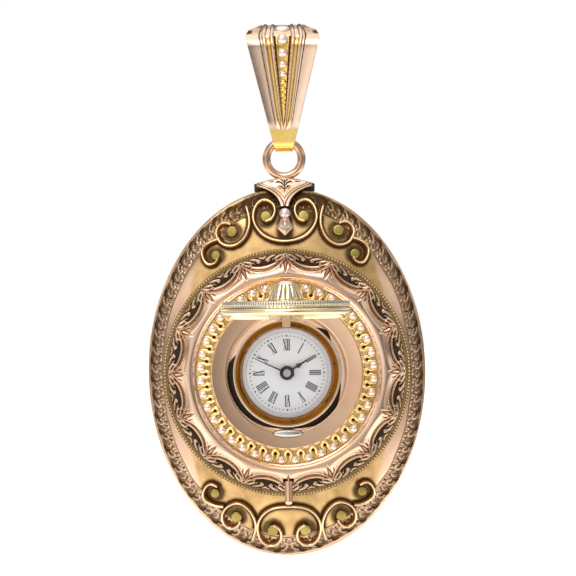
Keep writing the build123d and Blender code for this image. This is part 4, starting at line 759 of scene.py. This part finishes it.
def oval_catch():
    """The catch: an oval button, 2.15 by 0.57 mm in half sizes, its height the root of 1 - distance^2.5, on a foot."""
    place, half_long, half_wide = -8.79, 2.15, 0.57
    turn, out = circle(48)[None, :], np.sin(np.linspace(0, np.pi / 2, 12))[:, None]
    x, y = half_long * out * np.cos(turn), half_wide * out * np.sin(turn)
    middle, rim_x, rim_y = 0 * x[:1], x[-1:], y[-1:]
    top = [on_face(x, place - y, 6.99 + 0.28 * np.sqrt(np.clip(1 - out ** 2.5, 0, 1))),
           on_face(rim_x, place - rim_y, 6.94), on_face(middle, place, 6.94)]
    foot = [on_face(middle, place, 6.99), *(on_face(rim_x * 1.04, place - 1.09 * rim_y, f) for f in (6.99, 6.93)),
            on_face(middle, place, 6.93)]
    return [(closed_grid(np.concatenate(rows), round_rows=False), kind) for kind, rows in enumerate((top, foot))]


def hand_blade(degrees, back, widths):
    """One side of a hand: a bar whose half width is given at each radius, and whose front edges are eased."""
    rows = np.asarray(widths, float)
    section = np.array([(-1.0, 0.0), (-1.0, 0.09), (-0.55, 0.15), (0.55, 0.15), (1.0, 0.09), (1.0, 0.0)])
    x, r, a = rows[:, 1:] * section[None, :, 0], rows[:, :1], math.radians(degrees)
    return capped(on_face(r * math.sin(a) + x * math.cos(a), r * math.cos(a) - x * math.sin(a), back + section[:, 1]))


def hand(name, replaced, degrees, back, inner, outer, blades):
    """A watch hand of eased blades and a hub ring, 0.15 mm thick; a blade is (radius, half width) along its length."""
    ring = turned([(inner, back), (outer, back), (outer, back + 0.1), (outer - 0.07, back + 0.15),
                   (inner, back + 0.15)], 48)
    parts = [(hand_blade(degrees, back, rows), 0) for rows in blades] + [(ring, 0)]
    piece(name, parts, dark_steel, replaced, replaced, weld=True, sharp=35)


piece("cove_lining", cove_lining(), cove_finish)
piece("rehaut_lip", turned(rounded([(6.46, 6.22), (6.68, 6.22), (6.68, 6.4), (6.46, 6.36)], 0.06), 160),
      yellow_polish)
piece("plate_face", plate_face(), plate_rose)
piece("collar_rim", collar_rim(), collar_rose)
piece("oval_catch", oval_catch(), [steel, dark_steel], "catch", "push_piece", weld=True)
hand("spade_hour_hand", "hour_hand", 58.0, 6.5, 0.62, 1.05,
     [[(0.9, 0.13), (1.4, 0.11), (1.62, 0.15), (1.86, 0.36), (2.05, 0.33), (2.3, 0.17), (2.6, 0.12), (3.6, 0.1),
       (4.45, 0.05), (4.75, 0.015)]])
hand("needle_minute_hand", "minute_hand", 294.5, 6.85, 0.42, 1.0,
     [[(-1.2, 0.05), (-1.0, 0.1), (-0.6, 0.12)], [(0.6, 0.12), (3.0, 0.085), (5.0, 0.05), (5.6, 0.015)]])

# Dial print
PRINT_BACK, PRINT_FRONT = 6.195, 6.215


def bars(rows):
    """Flat bars on the dial, each from one end to the other with a width, as thin closed boxes."""
    rows = np.asarray(rows, float)
    start, end, width = rows[:, 0:2], rows[:, 2:4], rows[:, 4:5]
    along = unit(end - start)
    aside = np.stack([-along[:, 1], along[:, 0]], -1) * width / 2
    corners = np.tile(np.stack([start + aside, start - aside, end - aside, end + aside], 1), (1, 2, 1))
    points = on_face(corners[..., 0], corners[..., 1], np.repeat([PRINT_BACK, PRINT_FRONT], 4)).reshape(-1, 3)
    box = np.array([[3, 2, 1, 0], [4, 5, 6, 7], [1, 5, 4, 0], [2, 6, 5, 1], [3, 7, 6, 2], [0, 4, 7, 3]])
    return points, (box[None] + 8 * np.arange(len(rows))[:, None, None]).reshape(-1, 4), np.zeros(len(points))


def numeral_bars():
    """Roman numerals, their feet towards the centre: thick and thin strokes placed side by side, with fine serifs."""
    letters = {"I": (0.26, [(0.0, 0.0, 0.0, 1.0, 0.18)]),
               "V": (0.50, [(-0.2, 1.0, 0.0, 0.0, 0.18), (0.2, 1.0, 0.0, 0.0, 0.07)]),
               "X": (0.50, [(-0.2, 1.0, 0.2, 0.0, 0.18), (0.2, 1.0, -0.2, 0.0, 0.07)])}
    rows, foot, height = [], 3.3, 1.62
    for hour, word in enumerate("XII I II III IIII V VI VII VIII IX X XI".split()):
        sine, cosine = math.sin(math.radians(hour * 30)), math.cos(math.radians(hour * 30))
        half = sum(letters[c][0] for c in word) / 2
        place, lines = -half, [(-half, y, half, y, 0.055) for y in (0.0, 1.0)]
        for c in word:
            width, parts = letters[c]
            lines += [(place + width / 2 + x0, y0, place + width / 2 + x1, y1, w) for x0, y0, x1, y1, w in parts]
            place += width
        for x0, y0, x1, y1, w in lines:
            ends = [(r * sine + x * cosine, r * cosine - x * sine)
                    for x, r in ((x0, foot + height * y0), (x1, foot + height * y1))]
            rows.append((*ends[0], *ends[1], w))
    return rows


def dial_dots(radius, count, size, skip=0):
    """Flat dots round the dial as eight-sided buttons, leaving out every one that falls on a multiple of skip."""
    order = np.arange(count)
    a = TURN * (order[order % skip != 0] if skip else order) / count
    dot = button(((0, PRINT_BACK), (size, PRINT_BACK), (size, PRINT_FRONT), (0, PRINT_FRONT)), 8)
    return copies(closed_grid(dot, round_rows=False), places_to_front(on_ring(radius, a, 0 * a))), 0


piece("dial_print_black", [(bars(numeral_bars()), 0), dial_dots(5.4, 60, 0.1, 5), dial_dots(5.4, 12, 0.15)], ink,
      smooth=False, weld=True)
piece("dial_print_grey", [dial_dots(5.98, 120, 0.1), dial_dots(6.3, 120, 0.085)], pale_ink,
      smooth=False, weld=True)

# Lid: knurled cover, rolled shell and fluted collet
LID_Y, LID_LEVEL = -19.2, -47.05
SNAP_TOP, PIN_ROOM = 5.265, 0.23


def on_lid(radius, angle, level):
    """Points of the open lid: turned about its upright axis, at a level measured forward when it is shut."""
    radius, angle, level = np.broadcast_arrays(radius, angle, level)
    return np.stack([radius * np.sin(angle), LID_Y - radius * np.cos(angle), LID_LEVEL + level], axis=-1).astype(float)


def knurled_cover():
    """The lid's cover: a turned rim whose edge swells by 0.035 cos 150a, a line of beads below it, a gold top."""
    outline = [(7.6, 9.12), (8.68, 9.12), (8.72, 8.64), (8.86, 8.64), (8.86, 9.0), (8.93, 9.06), (8.93, 9.46),
               (8.8, 9.52), (8.25, 9.53), (7.6, 9.45)]
    angle, r, level = all_round(outline, 600)
    ridge, wave = np.array([0, 0, 0, 0, 0, 1, 1, 0.6, 0, 0])[None, :], np.cos(angle * 150)
    notch = (np.abs(angle - np.pi) < 0.23) & (r > 8.0)
    r = r + 0.035 * wave * ridge
    rim = closed_grid(on_lid(np.where(notch, np.minimum(r, 7.95), r), angle, level), np.clip(-wave * ridge, 0, 1))
    crown = [(0, 9.3), (7.85, 9.3), (7.85, 9.5), (7.78, 9.57), (7.6, 9.57), (7.5, 9.54), (7.4, 9.57), (6.4, 9.6),
             (5.0, 9.62), (3.0, 9.635), (0, 9.64)]
    around, r, level = all_round(crown, 144)
    a = circle(96)
    a = a[np.abs(a - np.pi) > 0.25]
    side, out = np.stack([np.cos(a), np.sin(a), 0 * a], -1), np.stack([np.sin(a), -np.cos(a), 0 * a], -1)
    beads = copies(ball(8, 5), (on_lid(8.9, a, 8.86), np.full((len(a), 1), 0.12), side, out,
                                np.broadcast_to([0, 0, 1.0], out.shape)))
    return [(rim, 0), (closed_grid(on_lid(r, around, level), round_columns=False), 1), (beads, 1)]


def rolled_lid():
    """The lid's shell: a turned outline with a rolled flange and the snap rim, cleared for the catch and the hinge.

    The knuckle is a round sleeve, 0.5 mm about the pin, carried back to the shell by a short tongue."""
    outline = [(0, 8.76), (8.1, 8.76), (8.1, 7.16), (8.16, 7.1), (8.38, 7.1), (8.45, 7.18), (8.45, 7.68), (8.62, 7.66),
               (9.1, 7.62), (9.24, 7.68), (9.35, 7.8), (9.42, 7.95), (9.449, 8.12), (9.44, 8.26), (9.39, 8.4),
               (9.3, 8.5), (9.18, 8.57), (9.04, 8.6), (8.9, 8.6), (8.7, 8.62), (8.7, 9.14), (0, 9.14)]
    angle, r, level = all_round(outline, 480)
    aside, towards = r * np.sin(angle), -r * np.cos(angle)
    recess = ((r > 8.4) & (level < 7.7) & (r < 8.7)) * 0.35
    behind = (towards > SNAP_TOP) | ((np.abs(aside) < 2.3) & (towards < -7.85))
    level = np.where(behind & (r < 9.0) & (level < 7.7), 7.66, level)
    notch = (np.abs(aside) < 0.95) & (towards > 8.0) & (level < 9.0)
    r, level = np.where(notch, np.minimum(r, 8.65), r), np.where(notch, np.maximum(level, 8.81), level)
    shell = closed_grid(on_lid(r, angle, level), recess, round_columns=False)
    turn = np.radians(np.concatenate([np.linspace(-143, 173, 40), [178, 200]]))
    pin_place, pin_height, knuckle, tongue = 10.1, 9.1, 0.5, 8.3
    place, height = pin_place + knuckle * np.cos(turn), pin_height + knuckle * np.sin(turn)
    place[-2:], height[-2:] = tongue, (pin_height, 8.8)
    hollow = pin_place + PIN_ROOM * np.cos(turn), pin_height + PIN_ROOM * np.sin(turn)
    rows = [(-0.75, place, height), (0.75, place, height), (0.75, *hollow), (-0.75, *hollow)]
    sleeve = closed_grid(np.array([np.stack([0 * a + x, LID_Y + a, LID_LEVEL + b], -1) for x, a, b in rows]))
    return [(shell, 0), (sleeve, 0)]


def fluted_collet():
    """The stone's setting: a waisted cone whose sixteen flutes cut the radius by depth (1 - |sin 8a|)."""
    outline = [(0, 9.62), (2.55, 9.62), (2.6, 9.72), (2.5, 10.0), (2.28, 10.5), (2.05, 11.0), (1.78, 11.5),
               (1.58, 11.85), (1.5, 12.0), (1.22, 12.0), (1.2, 11.6), (0, 11.6)]
    angle, r, level = all_round(outline, 192)
    depth = np.array([0, 0, 0.03, 0.1, 0.14, 0.14, 0.12, 0.08, 0.02, 0, 0, 0])[None, :]
    hollow = 1 - np.abs(np.sin(angle * 8))
    return closed_grid(on_lid(r - depth * hollow, angle, level), np.clip(hollow * 1.2 - 0.3, 0, 1) * (depth > 0.025),
                       round_columns=False)


for name, parts, finishes, replaced in (
        ("lid_cover_knurled", knurled_cover(), [worn_silvered, yellow_polish], "lid_cover"),
        ("rolled_lid_shell", rolled_lid(), old_gold, "lid_shell"),
        ("fluted_collet", fluted_collet(), old_gold, "stone_collet")):
    piece(name, parts, finishes, replaced, "lid", weld=True)


# Scrolls
def scroll_wire(shares, side):
    """One bent wire on edge: a rounded bar carried along the smooth line through its places, standing off the dome."""
    x, z = smooth_line(np.array(shares) * SCALE * [side, 1], 110).T
    seat, up = on_face(x, z, dome_at(x, z)), dome_normal(x, z)
    along = unit(np.gradient(seat, axis=0))
    section = np.array([(-0.27, -0.15), (-0.25, 0.25), (-0.2, 0.6), (-0.12, 0.79), (0, 0.85), (0.12, 0.79),
                        (0.2, 0.6), (0.25, 0.25), (0.27, -0.15), (0, -0.18)])
    points, quads, values = swept(seat, unit(np.cross(along, up)), up, section)
    # Painted shade: the wire's flanks darken towards the dome, and its ends a little.
    low, end = np.clip(1.75 - section[:, 1] * 2.1, 0, 1), np.full(len(section), 0.3)
    return (points, quads, np.concatenate([end, np.tile(low, len(x)), end])), 0


for name, replaced, runs, side in (
        ("top_scroll_wire", "scroll_top", [top_scroll], 1), ("bottom_scroll_wire", "scroll_bottom", [bottom_scroll], 1),
        ("upper_left_scroll_wire", "scroll_upper_left", upper_runs, 1),
        ("upper_right_scroll_wire", "scroll_upper_right", upper_runs, -1),
        ("lower_left_scroll_wire", "scroll_lower_left", lower_runs, 1),
        ("lower_right_scroll_wire", "scroll_lower_right", lower_runs, -1)):
    piece(name, [scroll_wire(run, side) for run in runs], green_gold, replaced, weld=True)


def pellet_buttons():
    """Flat pellets at the curls: turned discs with a rounded shoulder, set on the dome, 0.6 of its lean."""
    disc = button(((0, -0.2), (1, -0.2), (1, 0.32), (0.97, 0.44), (0.88, 0.52), (0.7, 0.54), (0, 0.55)), 28)
    made = []
    for (x, z), radius, room in pellets:
        for side in (-1, 1):
            place = np.array([side * x * SCALE[0]]), np.array([z * SCALE[1]])
            flat = disc * [radius, radius, 1.0]
            normal = unit(dome_normal(*place)[0] * 0.6 + np.array([0, -1.0, 0]) * 0.4)
            across = unit(np.cross([0, 0, 1.0], normal))
            seat = on_face(*place, dome_at(*place))[0]
            made.append((closed_grid(seat + flat[..., :1] * across + flat[..., 1:2] * np.cross(normal, across)
                                     + flat[..., 2:] * normal, round_rows=False), 0))
    return made


piece("scroll_pellets", pellet_buttons(), pellet_gold, "pellets", weld=True)

# Bail: the folded strap with its ribs, and the line of beads
EYE, FOOT, DROP, WALL = 3.55, 1.65, 14.0, 0.45
LEAN = math.asin((EYE - FOOT) / DROP)
SUNK = 0.42


def folded_strap():
    """The strap's closed loop, seen from the side: an arc round the eye, a straight front, a foot arc, a straight back.

    Across it runs a channel, a rounded rib, a gold channel, a second rib and a flange, whose edges close in downwards.
    Ribs rise 0.42 sqrt(1 - u^2) over a face that is sunk on the fold, so the crown keeps the eye's radius."""
    over, under = np.radians(np.linspace(180, -math.degrees(LEAN), 40)), np.linspace(-LEAN, -np.pi + LEAN, 14)
    front, back = np.linspace(0, 1, 62)[1:-1], np.linspace(0, 1, 12)[1:-1]
    beyond = len(front) + len(under) + len(back)
    turn = np.concatenate([over, 0 * front - LEAN, under, 0 * back + np.pi + LEAN])
    n = np.stack([0 * turn, -np.cos(turn), np.sin(turn)], -1)
    reach = np.concatenate([0 * over + EYE, EYE + (FOOT - EYE) * front, 0 * under + FOOT, FOOT + (EYE - FOOT) * back])
    seat = n * reach[:, None]
    seat[:, 2] += np.concatenate([0 * over, -DROP * front, 0 * under - DROP, -DROP * (1 - back)])
    z = seat[:, 2]
    half = np.interp(z, [-15.65, 0.0, 1.70, 2.73, 3.55], [1.2, 5.1, 5.48, 4.93, 3.17])
    edges = [0 * z] + [np.interp(-z, [-3.55, -1.5, 9.5, 11.5, 12.2], row) for row in (
        [1.1, 1.3, 0.3, 0.1, 0.05], [1.7, 1.95, 0.68, 0.35, 0.15], [2.15, 2.45, 0.98, 0.62, 0.4],
        [2.85, 3.15, 1.4, 1.05, 0.8])] + [half]
    shares = [np.linspace(0, 1, count + 1)[min(order, 1):] for order, count in enumerate((7, 10, 6, 10, 8))]
    right = np.concatenate([edges[k][:, None] * (1 - u) + edges[k + 1][:, None] * u for k, u in enumerate(shares)], 1)
    share, band = np.concatenate(shares), np.repeat(range(5), [len(u) for u in shares])
    ribs, gold, flange = band % 2 == 1, band == 2, band == 4
    height = np.select([band == 0, ribs, gold, flange],
                       [-0.12 + 0.06 * share ** 2, 0.42 * bulge(share, 0.5, 0.5), -0.13 + 0 * share,
                        0.02 + 0.1 * share ** 3])
    face = z[len(over):len(over) + len(front)]
    faced = np.concatenate([ramp(np.degrees(over), 100, 85), np.clip((-face < 11.2) + (12.0 + face) / 0.8, 0, 1),
                            np.zeros(beyond - len(front))])
    fold = np.concatenate([ramp(np.degrees(over), 5, 30), np.zeros(beyond)]) * faced
    notch = np.concatenate([np.cos(over * 17) ** 2 * ramp(np.degrees(over), 38, 44), np.zeros(beyond)])[:, None] * ribs
    rise = height * faced[:, None] * (1 - 0.35 * notch) - SUNK * fold[:, None]
    walls = np.exp(-share / 0.12) + np.exp(-(1 - share) / 0.12)
    # The channels and flanges are darkened beside the ribs' feet.
    recess = np.select([band == 0, gold, flange],
                       [0.9 * (share > 0.85) + 0.2, 0.5 * walls + 0.25, 0.8 * (share < 0.15)])
    recess = (recess + 0.8 * notch) * faced[:, None]
    # Painted shade: the flange's top corners, the flange near the fold and the crown of the fold are darkened.
    corner = bell(z, 2.3, 0.45)[:, None] * (flange * ramp(share, 0.62, 0.77))
    top = np.maximum(corner, 0.55 * ramp(z, 2.7, 3.2)[:, None]) * faced[:, None]
    recess = np.maximum(np.maximum(recess, ramp(z, 1.6, 1.9)[:, None] * flange * 0.45), top)
    x, rise, recess = (np.concatenate([sign * a[:, :0:-1], a], 1) for sign, a in ((-1, right), (1, rise), (1, recess)))
    wall = np.stack([half, half * 0.5, 0 * half, -half * 0.5, -half], 1)
    depth = -np.broadcast_to((WALL + 0.02 * fold)[:, None], wall.shape)
    x, rise = np.concatenate([x, wall], 1), np.concatenate([rise, depth], 1)
    grid = seat[:, None] + n[:, None] * rise[..., None] + np.stack([x, 0 * x, 0 * x], -1)
    strip, outside = np.zeros(x.shape[1], bool), np.zeros(x.shape[1], bool)
    middle = len(share) - 1
    strip[:2 * middle] = np.isin(np.concatenate([band[:0:-1], band[1:]]), (0, 2))
    outside[:2 * middle] = True
    low = (z < -12.0) & (z > -15.2) & (seat[:, 1] < 0)
    kinds = (strip & (faced > 0.5)[:, None]) | (outside & low[:, None])
    return [(closed_grid(grid, beside(len(z), recess, *[0.25] * 5)), kinds.astype(np.int32).reshape(-1))]


def bead_line():
    """Graded beads down the middle of the bail: balls seated on the sloping face, and a flattened one over the fold."""
    drops = np.array([0.8, -0.65, -2.35, -3.77, -4.95, -5.98, -6.9, -7.7, -8.35, -8.9])
    radii = np.array([0.86, 0.74, 0.62, 0.53, 0.46, 0.4, 0.34, 0.28, 0.22, 0.17])
    folded = drops > -0.48
    turn = np.where(folded, np.arcsin(np.clip(drops / EYE, -1, 1)), -LEAN)
    reach = np.where(folded, EYE - SUNK * ramp(np.degrees(turn), 5, 30),
                     EYE + (FOOT - EYE) * np.clip(-drops / DROP, 0, 1)) - 0.1 + 0.45 * radii
    centre = np.stack([0 * drops, -np.cos(turn) * reach, np.sin(turn) * reach + np.where(folded, 0.0, drops)], -1)
    places = places_to_front(centre, radii[:, None])
    points, quads, values = ball(20, 10)
    lift = math.radians(56)
    tip, rise = np.array([[0, -math.cos(lift), math.sin(lift)]]), np.array([[0, math.sin(lift), math.cos(lift)]])
    crown = copies((points * [1.15, 0.62, 0.45], quads, values),
                   (tip * 3.06, np.ones((1, 1)), np.array([[1.0, 0, 0]]), rise, tip))
    return [(copies(ball(18, 10), [a[:4] for a in places]), 0), (copies(ball(14, 8), [a[4:] for a in places]), 1),
            (crown, 0)]


piece("folded_bail_strap", folded_strap(), [bail_rose, bail_yellow], "bail_strap", "bail", sharp=55)
piece("bail_bead_line", bead_line(), [rose_bright, bail_yellow], "bail_ornament", "bail", weld=True)


# Saddle: the engraved fan, its bead and its drop
def engraved_fan():
    """The fan: z falls from the top edge to the stem, u runs across from -1 to 1, the half width closes in a curve.

    Two rounded ridges run 0.27 and 0.82 mm inside the edge; strokes of a leaf are cut between them. All of it is
    shifted by 0.35 - 0.95 |x / 4.6|^1.6, an arch, and its side walls, dark with painted shade, run back and down to the
    case."""
    rim = 19.66
    down = np.concatenate([[rim, 19.67, 19.7, 19.76], np.linspace(19.84, 23.98, 62)])[:, None]
    u = np.sin(np.linspace(-1, 1, 181) * np.pi / 2 * 0.98)[None, :] / math.sin(np.pi / 2 * 0.98)
    half = np.interp(down, [rim, 20.0, 20.35, 20.8, 21.3, 21.8, 22.3, 22.8, 23.4, 24.0],
                     [4.5, 4.35, 3.8, 3.05, 2.4, 1.85, 1.4, 1.05, 0.76, 0.64])
    seat = np.interp(down, [rim, 20.85, 21.6, 22.6, 23.7, 24.0], [0.85, 1.62, 2.35, 3.3, 4.12, 4.3])
    x, inset = half * u, (1 - np.abs(u)) * half
    ridge = 0.17 * bulge(inset, 0.27, 0.27) + 0.13 * bulge(inset, 0.82, 0.2)
    groove = bell(inset, 0.58, 0.06) + bell(inset, 1.08, 0.06)
    cut = strokes(np.abs(x), -down, (
        ([(0, -21.9), (0, -20.0)], [0.05, 0.1]), ([(0, -21.5), (0.5, -20.95), (0.9, -20.85)], [0.05, 0.13, 0.05]),
        ([(0, -21.0), (0.45, -20.4), (1.0, -20.15), (1.3, -20.35)], [0.05, 0.13, 0.12, 0.05]),
        ([(0.12, -20.4), (0.35, -20.0), (0.6, -19.9)], [0.05, 0.11, 0.05]),
        ([(1.6, -20.1), (2.3, -20.0)], [0.07, 0.05]), ([(0.5, -21.35), (0.85, -21.15)], [0.03, 0.06])))
    corner = ramp(np.abs(x), 3.1, 4.3) ** 2
    top = bulge(ramp(down, rim, rim + 0.3), 1, 1)
    f = (seat + 0.22 * np.sqrt(np.clip(inset / 0.1, 0, 1)) - 0.22 + ridge - 0.05 * groove - 0.12 * cut - 0.5 * corner
         - 0.35 * (1 - top) + 0.18 * (1 - u ** 2) * ramp(half, 0.9, 1.7))
    # The cuts and grooves hold grime; the outer corners are darkened as well.
    recess = np.clip(0.75 * groove + 0.95 * cut + 0.9 * corner - 0.5 * ridge, 0, 1)
    back = np.minimum(f, seat) - np.interp(down, [rim, 20.85, 22.0, 24.0], [1.4, 1.3, 1.0, 0.9])
    low = 0.35 - down - 0.95 * np.abs(x / 4.6) ** 1.6
    outer = np.stack([x, -f, low], -1)
    inner = np.stack([x, -back, low - 0.95 * np.clip(np.abs(x) / 3.4, 0, 1)], -1)[:, ::-1]
    step = np.array([0, 0.05, -0.03])
    # Painted shade: the side walls and back are darkened, the back's middle less.
    behind = np.where(np.abs(u) > 0.99, 0.95, 0.45)
    return capped(np.concatenate([outer, outer[:, -1:] + step, inner, outer[:, :1] + step], 1),
                  beside(len(down), recess, 1.0, behind, 1.0))


def bead_and_drop():
    """The bead, a small ball under it, and the faceted drop: outlines of eight places at four levels, drawn in."""
    centre = on_face(np.zeros(2), np.array([23.3, 22.6]), np.array([4.14, 4.02]))
    beads = copies(ball(28, 18), places_to_front(centre, np.array([[0.86], [0.42]])))
    (x, z), (inner_x, inner_z) = (np.array(mirrored(half)[:-1]).T for half in (
        [(0.0, 22.98), (0.45, 22.85), (0.62, 22.45), (1.15, 21.2), (0.0, 19.97)],
        [(0.0, 22.6), (0.2, 22.5), (0.3, 22.1), (0.62, 21.25), (0.0, 20.6)]))
    seat = dome_at(x, z)
    rows = [on_face(0 * x, 21.5, seat.mean() - 0.5), on_face(x, z, seat - 0.3), on_face(x, z, seat + 0.38),
            on_face(inner_x, inner_z, np.minimum(seat + 0.72, 4.72)), on_face(0 * x, 21.4, 4.62)]
    return [(beads, 0), (closed_grid(np.array(rows), round_rows=False), 1)]


piece("engraved_fan", engraved_fan(), fan_rose, "saddle", sharp=60)
piece("fan_bead_and_drop", bead_and_drop(), [lilac_bead, fan_rose], "saddle_ornament", sharp=35)


# Stage, light and camera
def pale_floor():
    """The floor: one level sheet of faintly glowing white paper, a little below the watch's lowest point."""
    half_size, level = 1.2, -0.0775
    along = np.linspace(-half_size, half_size, 3)
    grid = np.stack(np.broadcast_arrays(along[None, :], along[:, None], level), -1)
    mesh = bpy.data.meshes.new("pale_floor")
    mesh.from_pydata(grid.reshape(-1, 3).tolist(), [], lattice(3, 3).tolist())
    paper, add = new_finish("white_paper")
    white = (0.8, 0.8, 0.8, 1)
    shader = add("BsdfPrincipled", {"Base Color": white, "Roughness": 0.9, "Emission Color": white,
                                    "Emission Strength": 0.9})
    add("OutputMaterial", {"Surface": shader}, None)
    mesh.materials.append(paper)
    made = bpy.data.objects.new("pale_floor", mesh)
    bpy.context.scene.collection.objects.link(made)
    made.visible_glossy = False


def soft_light(name, place, size, power, in_metal):
    """A square soft light at a place, turned to the middle of the watch; the metal mirrors it or not."""
    lamp = bpy.data.lights.new(name, "AREA")
    lamp.shape, lamp.size, lamp.energy = "SQUARE", size, power
    held = bpy.data.objects.new(name, lamp)
    held.visible_glossy = in_metal
    held.location = place
    held.rotation_euler = (Vector((0, 0, -0.045)) - Vector(place)).to_track_quat("-Z", "Y").to_euler()
    bpy.context.scene.collection.objects.link(held)


def grey_steps(add, value, steps):
    """A ramp of greys over a direction's share of -1 to 1."""
    shades = add("ValToRGB", {"Fac": add("MapRange", {"Value": value, "From Min": -1.0, "From Max": 1.0})})
    elements = shades.node.color_ramp.elements
    for order, (at, grey) in enumerate(steps):
        step = elements[order] if order < 2 else elements.new(at / 2 + 0.5)
        step.position, step.color = at / 2 + 0.5, (grey, grey * 0.985, grey * 0.96, 1)
    return shades


def pale_room():
    """The room: white to the camera; to the metal, greys by height, times greys from left to right."""
    world = bpy.data.worlds.new("pale_room")
    bpy.context.scene.world = world
    world.use_nodes = True
    world.node_tree.nodes.clear()
    add = maker(world.node_tree)
    towards = add("SeparateXYZ", {0: add("TexCoord")}, None).outputs
    height = grey_steps(add, towards["Z"], (
        (-1.0, 0.8), (-0.6, 1.5), (-0.3, 1.1), (0.0, 0.72), (0.06, 0.6), (0.12, 0.4), (0.17, 0.5), (0.23, 1.45),
        (0.34, 0.95), (0.5, 0.34), (0.72, 0.34), (0.88, 0.95)))
    across = grey_steps(add, towards["X"], (
        (-1.0, 0.42), (-0.7, 0.62), (-0.35, 0.9), (-0.12, 0.86), (-0.04, 0.62), (0.02, 0.58), (0.1, 0.27), (0.3, 0.16),
        (0.5, 0.36), (0.75, 0.46), (1.0, 0.3)))
    away = add("MapRange", {"Value": add("Math", {0: towards["Z"]}, operation="ABSOLUTE"), "From Min": 0.2,
                            "From Max": 0.5})
    side = mixed(add, away, across, (0.85, 0.84, 0.82, 1))
    both = add("Mix", {"Factor": 1.0, 6: height, 7: side}, 2, data_type="RGBA", blend_type="MULTIPLY")
    seen = add("MixShader", {0: add("LightPath", pick="Is Camera Ray"),
                             1: add("Background", {"Color": both, "Strength": 1.5}),
                             2: add("Background", {"Color": (1, 1, 1, 1), "Strength": 1.0})})
    add("OutputWorld", {"Surface": seen}, None)


def photo_view():
    """The camera at the photograph's viewing angle, rolled by 0.8 degrees as the watch is in the photograph."""
    lens = bpy.data.cameras.new("photo_view")
    lens.lens, lens.sensor_width, lens.clip_start = 143.1, 36.0, 0.01
    view = bpy.data.objects.new("photo_view", lens)
    view.location = (0.00032, -0.340, -0.03568)
    view.rotation_euler = (math.pi / 2, math.radians(0.8), 0)
    bpy.context.scene.collection.objects.link(view)
    bpy.context.scene.camera = view


pale_floor()
soft_light("key_above", (-0.08, -0.30, 0.30), 0.30, 0.8, True)
soft_light("fill_left", (-0.42, -0.22, 0.02), 0.16, 0.3, False)
soft_light("fill_right", (0.42, -0.30, 0.06), 0.16, 0.25, False)
pale_room()
photo_view()
bpy.context.scene.view_settings.view_transform = "Standard"
